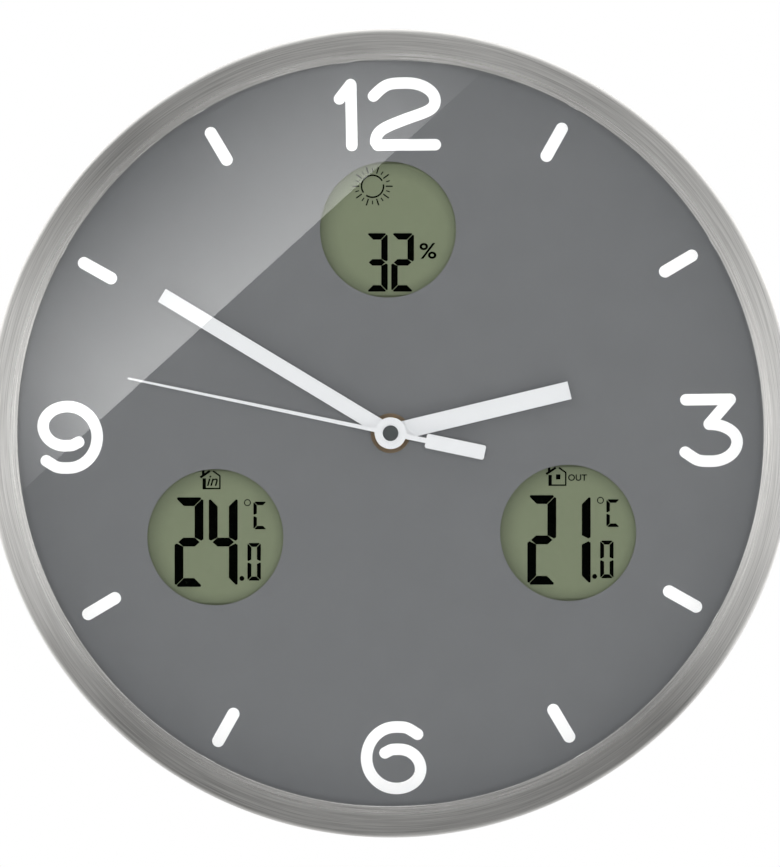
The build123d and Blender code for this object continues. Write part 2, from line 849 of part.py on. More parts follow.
with BuildPart() as spindle_nut:
    with BuildSketch(facing(dial_front + dial_washer_thickness)):
        RegularPolygon(nut_width / 2, 6, major_radius=False, rotation=nut_turn)
        Circle(bushing_radius, mode=Mode.SUBTRACT)
    extrude(amount=nut_height)
spindle_nut.part.label = "spindle_nut"
export_step(spindle_nut.part, "parts/spindle_nut.step")


# Going train. A pinion stands a little past the wheel that it meets.
pinion_margin = wheel_thickness / 2
hour_hand_back = dial_front + hour_hand_rise
minute_hand_back = dial_front + minute_hand_rise
second_hand_back = dial_front + second_hand_rise
arbor_front = second_hand_back + hand_sheet
minute_tube_front = minute_hand_back + 2 * hand_sheet
hour_tube_front = hour_hand_back + 2 * hand_sheet
clutch_back = train_floor + centre_level - pinion_margin
cannon_back = train_floor + minute_level - pinion_margin
cannon_front = train_floor + minute_level + wheel_thickness + pinion_margin
seconds_pinion_front = clutch_back - pinion_margin
third_pinion_front = train_floor + centre_level + wheel_thickness + pinion_margin
front_pivot = movement_split + pivot_depth - running_fit
rear_pivot = train_floor - pivot_depth + running_fit

with BuildPart() as seconds_wheel:
    wheel_plane = facing(train_floor + seconds_level)
    extrude(gear_face(wheel_plane, seconds_teeth, seconds_module), amount=wheel_thickness)
    extrude(
        gear_face(wheel_plane, pinion_teeth, third_module),
        amount=seconds_pinion_front - train_floor - seconds_level,
    )
    with BuildSketch(facing(rear_pivot)):
        Circle(arbor_radius)
    extrude(amount=arbor_front - rear_pivot)
seconds_wheel.part.label = "seconds_wheel"
export_step(seconds_wheel.part, "parts/seconds_wheel.step")

with BuildPart() as third_wheel:
    wheel_plane = facing(train_floor + third_level, *third_place)
    extrude(gear_face(wheel_plane, third_teeth, third_module, third_first_tooth), amount=wheel_thickness)
    extrude(
        gear_face(wheel_plane, pinion_teeth, centre_module),
        amount=third_pinion_front - train_floor - third_level,
    )
    with BuildSketch(facing(rear_pivot, *third_place)):
        Circle(pivot_radius)
    extrude(amount=front_pivot - rear_pivot)
third_wheel.part.label = "third_wheel"
export_step(third_wheel.part, "parts/third_wheel.step")

with BuildPart() as centre_wheel:
    extrude(
        gear_face(facing(train_floor + centre_level), centre_teeth, centre_module, centre_first_tooth),
        amount=wheel_thickness,
    )
    with BuildSketch(facing(train_floor + centre_level)):
        Circle(clutch_radius + running_fit)
    extrude(amount=wheel_thickness, mode=Mode.SUBTRACT)
centre_wheel.part.label = "centre_wheel"
export_step(centre_wheel.part, "parts/centre_wheel.step")

with BuildPart() as fifth_wheel:
    wheel_plane = facing(train_floor + fifth_level, *fifth_place)
    bridge_front = train_floor + bridge_level + bridge_thickness
    extrude(gear_face(wheel_plane, fifth_teeth, fifth_module), amount=wheel_thickness)
    extrude(
        gear_face(wheel_plane, pinion_teeth, seconds_module, fifth_first_tooth),
        amount=seconds_level + wheel_thickness - fifth_level,
    )
    with BuildSketch(facing(rear_pivot, *fifth_place)):
        Circle(pivot_radius)
    extrude(amount=bridge_front - rear_pivot)
fifth_wheel.part.label = "fifth_wheel"
export_step(fifth_wheel.part, "parts/fifth_wheel.step")

with BuildPart() as rotor:
    wheel_plane = facing(train_floor + rotor_pinion_level, *rotor_place)
    extrude(
        gear_face(wheel_plane, pinion_teeth, fifth_module, rotor_first_tooth),
        amount=magnet_level - rotor_pinion_level,
    )
    with BuildSketch(facing(train_floor + magnet_level, *rotor_place)):
        Circle(magnet_radius)
    extrude(amount=magnet_height)
    with BuildSketch(facing(rear_pivot, *rotor_place)):
        Circle(pivot_radius)
    extrude(amount=bridge_front - rear_pivot)
rotor.part.label = "rotor"
export_step(rotor.part, "parts/rotor.step")

# Cannon pinion and minute tube in one: a lip below holds the centre wheel, which slips on it
with BuildPart() as cannon_pinion:
    extrude(gear_face(facing(cannon_back), cannon_teeth, motion_module), amount=cannon_front - cannon_back)
    with BuildSketch(facing(clutch_back)):
        Circle(clutch_radius)
    extrude(amount=cannon_back - clutch_back)
    with BuildSketch(facing(train_floor + centre_level + wheel_thickness + running_fit)):
        Circle(cannon_collar_radius)
    extrude(amount=minute_level - pinion_margin - centre_level - wheel_thickness - running_fit)
    with BuildSketch(facing(cannon_front)):
        Circle(minute_tube_radius)
    extrude(amount=minute_tube_front - cannon_front)
    with BuildSketch(facing(clutch_back)):
        Circle(arbor_radius + running_fit)
    extrude(amount=minute_tube_front - clutch_back, mode=Mode.SUBTRACT)
cannon_pinion.part.label = "cannon_pinion"
export_step(cannon_pinion.part, "parts/cannon_pinion.step")

with BuildPart() as minute_wheel:
    wheel_plane = facing(train_floor + minute_level, *minute_place)
    extrude(gear_face(wheel_plane, minute_teeth, motion_module, minute_first_tooth), amount=wheel_thickness)
    extrude(
        gear_face(wheel_plane, minute_pinion_teeth, hour_module),
        amount=hour_level + wheel_thickness + pinion_margin - minute_level,
    )
    with BuildSketch(facing(rear_pivot, *minute_place)):
        Circle(pivot_radius)
    extrude(amount=front_pivot - rear_pivot)
minute_wheel.part.label = "minute_wheel"
export_step(minute_wheel.part, "parts/minute_wheel.step")

with BuildPart() as hour_wheel:
    extrude(
        gear_face(facing(train_floor + hour_level), hour_teeth, hour_module, hour_first_tooth),
        amount=wheel_thickness,
    )
    with BuildSketch(facing(train_floor + hour_level)):
        Circle(hour_tube_radius)
    extrude(amount=hour_tube_front - train_floor - hour_level)
    with BuildSketch(facing(train_floor + hour_level)):
        Circle(minute_tube_radius + running_fit)
    extrude(amount=hour_tube_front - train_floor - hour_level, mode=Mode.SUBTRACT)
hour_wheel.part.label = "hour_wheel"
export_step(hour_wheel.part, "parts/hour_wheel.step")

with BuildPart() as setting_knob:
    knob_back = movement_back - knob_gap - knob_height
    knob_flute_module = 2 * knob_radius / (knob_flutes + 2 * tooth_addendum)
    gear_back = train_floor + minute_level - pinion_margin
    # Thumb wheel with flutes round its rim
    extrude(gear_face(facing(knob_back, *knob_place), knob_flutes, knob_flute_module), amount=knob_height)
    with BuildSketch(facing(knob_back, *knob_place)):
        Circle(knob_stem_radius)
    extrude(amount=gear_back - knob_back)
    extrude(
        gear_face(facing(gear_back, *knob_place), cannon_teeth, motion_module, knob_first_tooth),
        amount=2 * wheel_thickness,
    )
    with BuildSketch(facing(gear_back, *knob_place)):
        Circle(pivot_radius)
    extrude(amount=front_pivot - gear_back)
setting_knob.part.label = "setting_knob"
export_step(setting_knob.part, "parts/setting_knob.step")


# Motor: stator, coil and the bridge that holds the rotor's and fifth wheel's front pivots
stator_ring_radius = magnet_radius + stator_hole_gap + stator_ring
stator_front = train_floor + stator_level + stator_thickness
coil_left = coil_across - coil_length / 2
leg_up = coil_up + core_width / 2

with BuildPart() as stator:
    with BuildSketch(facing(train_floor + stator_level)):
        with Locations(rotor_place):
            Circle(stator_ring_radius)
        # Left leg, bent round under the coil's far end
        with Locations((coil_left, rotor_place[1] - stator_leg / 2)):
            Rectangle(rotor_place[0] - coil_left, stator_leg, align=(Align.MIN, Align.MIN))
            Rectangle(stator_leg, leg_up - rotor_place[1] + stator_leg / 2, align=(Align.MIN, Align.MIN))
        # Right leg, straight up to the coil's near end
        with Locations((coil_left + coil_length, rotor_place[1])):
            Rectangle(stator_leg, leg_up - rotor_place[1], align=(Align.MAX, Align.MIN))
        with Locations(rotor_place):
            Circle(magnet_radius + stator_hole_gap, mode=Mode.SUBTRACT)
    extrude(amount=stator_thickness)
stator.part.label = "stator"
export_step(stator.part, "parts/stator.step")

with BuildPart() as coil_core:
    with BuildSketch(facing(stator_front, coil_across, coil_up)):
        Rectangle(coil_length, core_width)
    extrude(amount=core_thickness)
coil_core.part.label = "coil_core"
export_step(coil_core.part, "parts/coil_core.step")

bobbin_length = coil_length - 2 * stator_leg
coil_forward = stator_front + core_thickness / 2
with BuildPart() as coil_bobbin:
    with BuildSketch(side_on(coil_across - bobbin_length / 2, coil_up)):
        with Locations((0, coil_forward)):
            Circle(bobbin_radius)
    extrude(amount=bobbin_length)
    for end in (coil_across - bobbin_length / 2, coil_across + bobbin_length / 2 - coil_flange_wall):
        with BuildSketch(side_on(end, coil_up)):
            with Locations((0, coil_forward)):
                Rectangle(coil_flange, coil_flange)
        extrude(amount=coil_flange_wall)
    with BuildSketch(facing(stator_front, coil_across, coil_up)):
        Rectangle(bobbin_length, core_width)
    extrude(amount=core_thickness, mode=Mode.SUBTRACT)
coil_bobbin.part.label = "coil_bobbin"
export_step(coil_bobbin.part, "parts/coil_bobbin.step")

winding_length = bobbin_length - 2 * coil_flange_wall
with BuildPart() as coil_winding:
    with BuildSketch(side_on(coil_across - winding_length / 2, coil_up)):
        with Locations((0, coil_forward)):
            Circle(coil_radius)
            Circle(bobbin_radius, mode=Mode.SUBTRACT)
    extrude(amount=winding_length)
coil_winding.part.label = "coil_winding"
export_step(coil_winding.part, "parts/coil_winding.step")

near_foot = (fifth_place[0] + near_foot_reach[0], fifth_place[1] + near_foot_reach[1])
far_foot = (rotor_place[0] + far_foot_reach[0], rotor_place[1] + far_foot_reach[1])
with BuildPart() as train_bridge:
    with BuildSketch(facing(train_floor + bridge_level)):
        with BuildLine():
            Polyline(fifth_place, near_foot, far_foot, rotor_place, close=True)
        make_face()
        offset(amount=bridge_foot_radius, kind=Kind.ARC)
        with Locations(fifth_place, rotor_place):
            Circle(pivot_radius + running_fit, mode=Mode.SUBTRACT)
    extrude(amount=bridge_thickness)
    with BuildSketch(facing(train_floor)):
        with Locations(near_foot, far_foot):
            Circle(bridge_foot_radius)
    extrude(amount=bridge_level)
train_bridge.part.label = "train_bridge"
export_step(train_bridge.part, "parts/train_bridge.step")


# Movement electrics
movement_board_back = train_floor + stator_level
movement_board_length = movement_inner / 2 - movement_board_gap - coil_left - coil_length
with BuildPart() as movement_board:
    with BuildSketch(facing(movement_board_back, coil_left + coil_length, coil_up)):
        Rectangle(movement_board_length, movement_board_width, align=(Align.MIN, Align.CENTER))
    extrude(amount=movement_board_thickness)
movement_board.part.label = "movement_board"
export_step(movement_board.part, "parts/movement_board.step")

movement_board_front = movement_board_back + movement_board_thickness
crystal_across = coil_left + coil_length + movement_board_length / 2
with BuildPart() as quartz_crystal:
    with BuildSketch(side_on(crystal_across, coil_up)):
        with Locations((0, movement_board_front + crystal_radius)):
            Circle(crystal_radius)
    extrude(amount=crystal_length)
quartz_crystal.part.label = "quartz_crystal"
export_step(quartz_crystal.part, "parts/quartz_crystal.step")

aa_left = -bay_length / 2 + contact_room - contact_sheet
with BuildPart() as aa_battery:
    with BuildSketch(side_on(aa_left, aa_up)):
        with Locations((0, aa_forward)):
            Circle(aa_radius)
    extrude(amount=aa_length - aa_nub_length)
    with BuildSketch(side_on(aa_left, aa_up)):
        with Locations((0, aa_forward)):
            Circle(aa_nub_radius)
    extrude(amount=aa_length)
aa_battery.part.label = "aa_battery"
export_step(aa_battery.part, "parts/aa_battery.step")

with BuildPart() as negative_contact:
    with BuildSketch(facing(aa_forward - contact_width / 2)):
        with BuildLine():
            Polyline(
                (-bay_length / 2, bay_high),
                (-bay_length / 2, aa_up - contact_width / 2),
                (aa_left, aa_up),
                (aa_left, aa_up + contact_tip),
                (-bay_length / 2 + contact_sheet, aa_up - contact_width / 2 + contact_fold),
                (-bay_length / 2 + contact_sheet, bay_high),
                close=True,
            )
        make_face()
    extrude(amount=contact_width)
negative_contact.part.label = "negative_contact"
export_step(negative_contact.part, "parts/negative_contact.step")

with BuildPart() as positive_contact:
    with BuildSketch(facing(aa_forward - contact_width / 2, bay_length / 2, aa_up)):
        Rectangle(contact_sheet, positive_contact_height, align=(Align.MAX, Align.CENTER))
    extrude(amount=contact_width)
positive_contact.part.label = "positive_contact"
export_step(positive_contact.part, "parts/positive_contact.step")


# Hands, stamped from sheet, each with a collet pressed on its tube
with BuildPart() as hour_hand:
    with BuildSketch(along_hand(hour_hand_back, hour_hand_angle)):
        Circle(hour_hub_radius)
        Rectangle(hour_hand_width, hour_hand_length, align=(Align.CENTER, Align.MIN))
    extrude(amount=hand_sheet)
    with BuildSketch(along_hand(hour_hand_back - collet_drop, hour_hand_angle)):
        Circle(hour_tube_radius + collet_wall)
    extrude(amount=collet_drop)
    with BuildSketch(along_hand(hour_hand_back - collet_drop, hour_hand_angle)):
        Circle(hour_tube_radius)
    extrude(amount=collet_drop + hand_sheet, mode=Mode.SUBTRACT)
hour_hand.part.label = "hour_hand"
export_step(hour_hand.part, "parts/hour_hand.step")

with BuildPart() as minute_hand:
    with BuildSketch(along_hand(minute_hand_back, minute_hand_angle)):
        Circle(minute_hub_radius)
        Rectangle(minute_hand_width, minute_hand_length, align=(Align.CENTER, Align.MIN))
    extrude(amount=hand_sheet)
    with BuildSketch(along_hand(minute_hand_back - collet_drop, minute_hand_angle)):
        Circle(minute_tube_radius + collet_wall)
    extrude(amount=collet_drop)
    with BuildSketch(along_hand(minute_hand_back - collet_drop, minute_hand_angle)):
        Circle(minute_tube_radius)
    extrude(amount=collet_drop + hand_sheet, mode=Mode.SUBTRACT)
minute_hand.part.label = "minute_hand"
export_step(minute_hand.part, "parts/minute_hand.step")

with BuildPart() as second_hand:
    with BuildSketch(along_hand(second_hand_back, second_hand_angle)):
        Circle(second_hub_radius)
        # Needle, tapering to its tip
        with BuildLine():
            Polyline(
                (-second_hand_root_width / 2, 0),
                (second_hand_root_width / 2, 0),
                (second_hand_tip_width / 2, second_hand_length),
                (-second_hand_tip_width / 2, second_hand_length),
                close=True,
            )
        make_face()
        Rectangle(tail_neck_width, tail_start, align=(Align.CENTER, Align.MAX))
        with Locations((0, -(tail_start + tail_end) / 2)):
            tail = Rectangle(tail_width, tail_end - tail_start)
            chamfer(tail.vertices(), tail_chamfer)
    extrude(amount=hand_sheet)
    with BuildSketch(along_hand(second_hand_back - collet_drop, second_hand_angle)):
        Circle(arbor_radius + collet_wall)
    extrude(amount=collet_drop)
    with BuildSketch(along_hand(second_hand_back - collet_drop, second_hand_angle)):
        Circle(arbor_radius)
    extrude(amount=collet_drop + hand_sheet, mode=Mode.SUBTRACT)
second_hand.part.label = "second_hand"
export_step(second_hand.part, "parts/second_hand.step")

with BuildPart() as second_hand_cap:
    with BuildSketch(facing(arbor_front)):
        Circle(cap_radius)
    extrude(amount=cap_height)
    chamfer(second_hand_cap.edges().sort_by(Axis.Y)[0], cap_bevel)
second_hand_cap.part.label = "second_hand_cap"
export_step(second_hand_cap.part, "parts/second_hand_cap.step")


# Battery compartment: cells, contacts and the hinged door
for place, offset_up, turned in (
    ("upper", aaa_radius + aaa_gap / 2, 1),
    ("lower", -aaa_radius - aaa_gap / 2, -1),
):
    with BuildPart() as aaa_battery:
        with BuildSketch(side_on(-turned * aaa_length / 2, aaa_up + offset_up)):
            with Locations((0, aaa_forward)):
                Circle(aaa_radius)
        extrude(amount=turned * (aaa_length - aaa_nub_length))
        with BuildSketch(side_on(-turned * aaa_length / 2, aaa_up + offset_up)):
            with Locations((0, aaa_forward)):
                Circle(aaa_nub_radius)
        extrude(amount=turned * aaa_length)
    aaa_battery.part.label = f"{place}_aaa_battery"
    export_step(aaa_battery.part, f"parts/{place}_aaa_battery.step")

# Four bent strips, one at each end of each cell
with BuildPart() as aaa_contacts:
    for end in (-1, 1):
        for offset_up in (-aaa_radius - aaa_gap / 2, aaa_radius + aaa_gap / 2):
            wall_across = end * aaa_inner_length / 2
            cell_across = end * aaa_length / 2
            inward = -end * contact_sheet
            low = offset_up - aaa_radius / 2
            high = offset_up + aaa_radius / 2
            with BuildSketch(facing(aaa_forward - contact_width / 2, up=aaa_up)):
                with BuildLine():
                    Polyline(
                        (wall_across, high),
                        (wall_across, low),
                        (cell_across, offset_up - contact_sheet),
                        (cell_across, offset_up + contact_sheet),
                        (wall_across + inward, low + 2 * contact_sheet),
                        (wall_across + inward, high),
                        close=True,
                    )
                make_face()
            extrude(amount=contact_width)
aaa_contacts.part.label = "aaa_contacts"
export_step(aaa_contacts.part, "parts/aaa_contacts.step")

with BuildPart() as battery_door:
    with BuildSketch(side_on(-door_length / 2, aaa_up)):
        with Locations((door_thickness / 2 - door_width / 2, pin_forward)):
            Circle(door_thickness / 2)
            Rectangle(door_width - door_thickness / 2, door_thickness, align=(Align.MIN, Align.CENTER))
    extrude(amount=door_length)
    pin_span = door_length + 2 * door_pin_length
    with BuildSketch(side_on(-pin_span / 2, pin_up)):
        with Locations((0, pin_forward)):
            Circle(door_pin_radius)
    extrude(amount=pin_span)
    with BuildSketch(facing(aaa_recess_depth, up=aaa_up + aaa_inner_width / 2 - door_latch_gap)):
        Rectangle(door_latch_width, door_latch_wall, align=(Align.CENTER, Align.MAX))
    extrude(amount=door_latch_depth)
    # Grooves that a fingertip grips beside the notch
    with BuildSketch(facing(door_sink, up=aaa_up + door_width / 2 - door_groove_inset)):
        with GridLocations(0, door_groove_pitch, 1, door_grooves):
            Rectangle(door_groove_length, door_groove_width)
    extrude(amount=door_groove_depth, mode=Mode.SUBTRACT)
battery_door.part.label = "battery_door"
export_step(battery_door.part, "parts/battery_door.step")


# Buttons and what is behind them
switch_back = board_back - switch_height
button_flange_back = button_recess_depth + button_wall + button_rest_gap
for name, side in (("unit_button", -1), ("search_button", 1)):
    across = button_place[0] + side * button_spacing / 2
    with BuildPart() as button:
        with BuildSketch(facing(button_sink, across, button_place[1])):
            Circle(button_radius)
        extrude(amount=button_flange_back - button_sink)
        chamfer(button.edges().sort_by(Axis.Y)[-1], button_bevel)
        with BuildSketch(facing(button_flange_back, across, button_place[1])):
            Circle(button_radius + button_flange)
        extrude(amount=button_flange)
        with BuildSketch(facing(button_flange_back, across, button_place[1])):
            Circle(button_stem_radius)
        extrude(amount=switch_back - switch_gap - button_travel - button_flange_back)
    button.part.label = name
    export_step(button.part, f"parts/{name}.step")

with BuildPart() as key_switches:
    with BuildSketch(facing(switch_back, *button_place)):
        with GridLocations(button_spacing, 0, 2, 1):
            Rectangle(switch_size, switch_size)
    extrude(amount=switch_height)
key_switches.part.label = "key_switches"
export_step(key_switches.part, "parts/key_switches.step")

with BuildPart() as climate_sensor:
    with BuildSketch(facing(board_back - sensor_height, *sensor_place)):
        Rectangle(sensor_size, sensor_size)
    extrude(amount=sensor_height)
climate_sensor.part.label = "climate_sensor"
export_step(climate_sensor.part, "parts/climate_sensor.step")

with BuildPart() as receiver_module:
    with BuildSketch(facing(receiver_forward, receiver_across, receiver_up)):
        Rectangle(receiver_length, receiver_width)
    extrude(amount=receiver_thickness)
    can_across = receiver_across - receiver_length / 2 + can_inset
    with BuildSketch(facing(receiver_forward + receiver_thickness, can_across, receiver_up)):
        Rectangle(can_length, can_width, align=(Align.MIN, Align.CENTER))
    extrude(amount=can_height)
receiver_module.part.label = "receiver_module"
export_step(receiver_module.part, "parts/receiver_module.step")

with BuildPart() as antenna:
    with BuildSketch(radial(degrees(atan2(receiver_up, antenna_circle)))):
        with Locations((antenna_circle, receiver_forward + receiver_thickness + antenna_radius)):
            RegularPolygon(antenna_radius, wire_sides, major_radius=False)
    revolve(axis=Axis((0, 0, dial_height), (0, -1, 0)), revolution_arc=antenna_sweep)
antenna.part.label = "antenna"
export_step(antenna.part, "parts/antenna.step")

# Flat cables at the level of the boards, which they meet edge to edge
ribbon_back = board_back + (board_thickness - ribbon_thickness) / 2
outdoor_across, outdoor_up = button_place
humidity_across, humidity_up = sensor_place
ribbon_turn = (frame_size / 2 + ribbon_reach, humidity_up - board_height / 4)
outdoor_top = outdoor_up + board_height / 2
outdoor_left = outdoor_across - frame_size / 2
with BuildPart() as ribbon_cables:
    # Humidity board to outdoor board: out to the right, then down
    with BuildSketch(facing(ribbon_back)):
        with Locations((humidity_across + frame_size / 2, ribbon_turn[1])):
            Rectangle(ribbon_reach, ribbon_width, align=(Align.MIN, Align.CENTER))
        with Locations((ribbon_turn[0], outdoor_top)):
            ribbon_drop = ribbon_turn[1] + ribbon_width / 2 - outdoor_top
            Rectangle(ribbon_width, ribbon_drop, align=(Align.CENTER, Align.MIN))
    extrude(amount=ribbon_thickness)
    # Indoor board to outdoor board, between the movement and the battery compartment
    with BuildSketch(facing(ribbon_back, 0, outdoor_up - board_height / 4)):
        Rectangle(2 * outdoor_left, ribbon_width)
    extrude(amount=ribbon_thickness)
ribbon_cables.part.label = "ribbon_cables"
export_step(ribbon_cables.part, "parts/ribbon_cables.step")
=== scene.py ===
# %% [markdown]
# # A round wall clock with three displays
#
# The clock has a brushed metal bezel, a flat glass, a grey dial with white numerals and bars,
# white hands, and three round windows over liquid-crystal displays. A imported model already
# holds its solid parts in their real places. This notebook dresses them: it gives every part
# the finish of its real material, prints the dial, fills the displays, and sets up the light
# and the camera. Lengths are in metres, so sizes in millimetres are multiplied by mm.

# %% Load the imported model
import json
from math import atan2, cos, degrees, pi, radians, sin, tau

import bpy
from mathutils import Matrix, Vector


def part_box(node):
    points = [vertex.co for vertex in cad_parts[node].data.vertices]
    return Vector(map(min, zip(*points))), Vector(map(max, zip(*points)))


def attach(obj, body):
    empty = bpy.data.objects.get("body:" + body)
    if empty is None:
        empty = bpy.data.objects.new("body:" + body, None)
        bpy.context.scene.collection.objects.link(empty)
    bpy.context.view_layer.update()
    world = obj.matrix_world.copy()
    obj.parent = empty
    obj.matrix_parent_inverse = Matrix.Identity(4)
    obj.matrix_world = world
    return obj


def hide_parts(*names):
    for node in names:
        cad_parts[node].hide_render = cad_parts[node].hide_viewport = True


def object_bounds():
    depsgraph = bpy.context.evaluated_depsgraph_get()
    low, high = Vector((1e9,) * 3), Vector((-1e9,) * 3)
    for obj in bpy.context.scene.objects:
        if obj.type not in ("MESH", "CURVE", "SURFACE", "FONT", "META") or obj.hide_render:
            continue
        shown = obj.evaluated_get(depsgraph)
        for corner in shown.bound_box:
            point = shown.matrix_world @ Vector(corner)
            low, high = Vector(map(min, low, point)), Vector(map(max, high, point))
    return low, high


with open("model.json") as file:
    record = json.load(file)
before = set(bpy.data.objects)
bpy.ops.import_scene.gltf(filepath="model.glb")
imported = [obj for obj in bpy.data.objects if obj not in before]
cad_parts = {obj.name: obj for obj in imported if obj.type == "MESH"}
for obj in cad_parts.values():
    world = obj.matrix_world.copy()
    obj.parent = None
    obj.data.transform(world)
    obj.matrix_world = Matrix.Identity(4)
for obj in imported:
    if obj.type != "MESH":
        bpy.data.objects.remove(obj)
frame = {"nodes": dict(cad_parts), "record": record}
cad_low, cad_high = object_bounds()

mm = 0.001

# %% [markdown]
# ## Where things are
#
# The wall is at Y = 0 and the clock looks towards -Y, so the front of a part is the low Y of
# its box. The spindle that turns the hands is the middle of everything that is round. Places
# could be typed in as numbers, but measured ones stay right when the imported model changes.

# %% Measure the parts that others sit on
dial_low, dial_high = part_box("dial_plate")
spindle = Vector((0, 0, (dial_low.z + dial_high.z) / 2))
dial_front = dial_low.y
panel_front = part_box("humidity_lcd_panel")[0].y
glass_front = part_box("lens")[0].y
bezel_low, bezel_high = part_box("bezel")
bezel_radius = (bezel_high.x - bezel_low.x) / 2
windows = {}
for room in ("humidity", "indoor", "outdoor"):
    low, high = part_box(f"{room}_lcd_panel")
    windows[room] = (low + high) / 2
print("bezel radius", round(bezel_radius / mm, 1), "mm, dial front at", round(dial_front / mm, 1))

# %% [markdown]
# ## Colours and nodes
#
# Colours are written as they look on a screen, but shaders work with linear light, so one
# function converts them. Nodes could be placed by hand in the shader editor. In a script one
# helper is shorter: it adds a node, sets its values, and links it to what it reads. A node that
# is given as an input stands for its first output.

# %% Helpers for colours and nodes
def linear(hex_colour):
    """Turns a screen colour such as #6E7072 into linear red, green, blue and alpha."""
    channels = [int(hex_colour[i:i + 2], 16) / 255 for i in (1, 3, 5)]
    return [c / 12.92 if c <= 0.04045 else ((c + 0.055) / 1.055) ** 2.4 for c in channels] + [1.0]


def fill(node, inputs):
    """Gives a node's inputs their values, or links them from sockets or nodes."""
    for name, value in inputs.items():
        if isinstance(value, bpy.types.Node):
            value = value.outputs[0]
        if isinstance(value, bpy.types.NodeSocket):
            node.id_data.links.new(value, node.inputs[name])
        else:
            node.inputs[name].default_value = value


def add(tree, kind, inputs=None, stops=(), **settings):
    """Adds a node. Stops are for a colour ramp: a place, and a colour or a grey level."""
    node = tree.nodes.new("ShaderNode" + kind)
    for name, value in settings.items():
        setattr(node, name, value)
    fill(node, inputs or {})
    for place, _ in stops[1:-1]:
        node.color_ramp.elements.new(place)
    for i, (place, tone) in enumerate(stops):
        node.color_ramp.elements[i].position = place
        grey = isinstance(tone, float)
        node.color_ramp.elements[i].color = (tone, tone, tone, 1) if grey else tone
    return node


print("a middle screen grey is", round(linear("#808080")[0], 3), "in linear light")

# %% [markdown]
# ## Finishes and their grain
#
# A finish starts from the Principled shader's plain values. No real surface is that even:
# lacquer has its orange peel, moulded plastic its spark texture, metal its tool marks. Picture
# textures could show them, but noise made by nodes has no seams and no fixed size. A fine
# noise gives bumps and small changes of gloss, and a cloudier one changes the colour a little.
# Object coordinates hold the pattern still on each part. Finishes are kept by the name of the
# material slot that they fill, so that a table of values can make many of them.

# %% Helpers for finishes
finishes = {}
noise_low, noise_high = 0.3, 0.7
grains_per_cloud = 12
gloss_change = 0.15


def new_finish(name, colour, roughness, metallic=0.0):
    """A material with its shader's plain values set, and its node tree and shader."""
    finish = bpy.data.materials.new(name)
    finish.use_nodes = True
    shader = finish.node_tree.nodes["Principled BSDF"]
    fill(shader, {"Base Color": linear(colour), "Roughness": roughness, "Metallic": metallic})
    return finish, finish.node_tree, shader


def speckled(finish_parts, grain, depth, tint, stretch=(1, 1, 1)):
    """Adds grain: bumps of this size and depth in millimetres, uneven gloss, a tinted cloud."""
    finish, tree, shader = finish_parts
    spot = add(tree, "Mapping", {"Vector": add(tree, "TexCoord").outputs["Object"],
                                 "Scale": stretch})
    noise = add(tree, "TexNoise", {"Vector": spot, "Scale": 1 / (grain * mm), "Detail": 3.0})
    bump = add(tree, "Bump", {"Height": noise, "Distance": depth * mm, "Strength": 1.0})
    roughness = shader.inputs["Roughness"].default_value
    gloss = add(tree, "MapRange", {
        "Value": noise, "From Min": noise_low, "From Max": noise_high,
        "To Min": roughness * (1 - gloss_change),
        "To Max": min(1.0, roughness * (1 + gloss_change))})
    cloud = add(tree, "TexNoise", {
        "Vector": spot, "Scale": 1 / (grains_per_cloud * grain * mm), "Detail": 2.0})
    colour = shader.inputs["Base Color"].default_value[:3]
    tone = add(tree, "ValToRGB", {"Fac": cloud}, stops=[
        (noise_low, [c * (1 - tint) for c in colour] + [1]),
        (noise_high, [min(1, c * (1 + tint)) for c in colour] + [1])])
    fill(shader, {"Normal": bump, "Roughness": gloss, "Base Color": tone})
    return finish


def add_finishes(rows, metallic=0.0):
    """Makes finishes from rows of slot, name, colour, roughness, grain, depth and tint."""
    for slot, name, colour, roughness, grain, depth, tint in rows:
        finishes[slot] = speckled(new_finish(name, colour, roughness, metallic), grain, depth, tint)
        print("made", name)


# %% [markdown]
# ## Brushed aluminium
#
# The bezel is spun from aluminium sheet and brushed while it turns, so its scratches run round
# it. Such scratches spread a reflection across them and hardly along them, which is why a
# brushed ring shows bright fans towards the lights. Real scratches are too fine to model, so
# the anisotropic setting does that. It needs the direction of the brushing, which a radial
# tangent gives, and a quarter turn puts the spread across the scratches. Rings of noise,
# 0.3 mm apart and a few centimetres long, stand in for the coarser scratches. The last 2 mm
# before the inner lip are smoother, because the tool that rolls the lip over burnishes them.

# %% Circular brushed aluminium
ring_spacing = 0.3
scratches_per_radian = 5.0
burnished_from, burnished_to = 142.6, 140.2

brushed, tree, shader = new_finish("circular_brushed_aluminium", "#E6E4E0", 0.36, metallic=1.0)
around = add(tree, "Tangent", direction_type="RADIAL", axis="Y")
fill(shader, {"Anisotropic": 0.97, "Anisotropic Rotation": 0.25, "Tangent": around})

centred = add(tree, "Mapping", {"Vector": add(tree, "TexCoord").outputs["Object"],
                                "Location": (0, 0, -spindle.z)})
split = add(tree, "SeparateXYZ", {"Vector": centred}).outputs
flat = add(tree, "CombineXYZ", {"X": split["X"], "Z": split["Z"]})
distance = add(tree, "VectorMath", {0: flat}, operation="LENGTH").outputs["Value"]
way = add(tree, "VectorMath", {0: flat}, operation="NORMALIZE")
stretched = add(tree, "VectorMath", {0: way, 1: [scratches_per_radian] * 3}, operation="MULTIPLY")
level = add(tree, "Math", {0: distance, 1: split["Y"]}, operation="SUBTRACT")
fine_level = add(tree, "Math", {0: level, 1: 1 / (ring_spacing * mm)}, operation="MULTIPLY")
lifted = add(tree, "CombineXYZ", {"Y": fine_level})
ring_place = add(tree, "VectorMath", {0: stretched, 1: lifted}, operation="ADD")
scratches = add(tree, "TexNoise", {"Vector": ring_place, "Scale": 1.0, "Detail": 3.0})

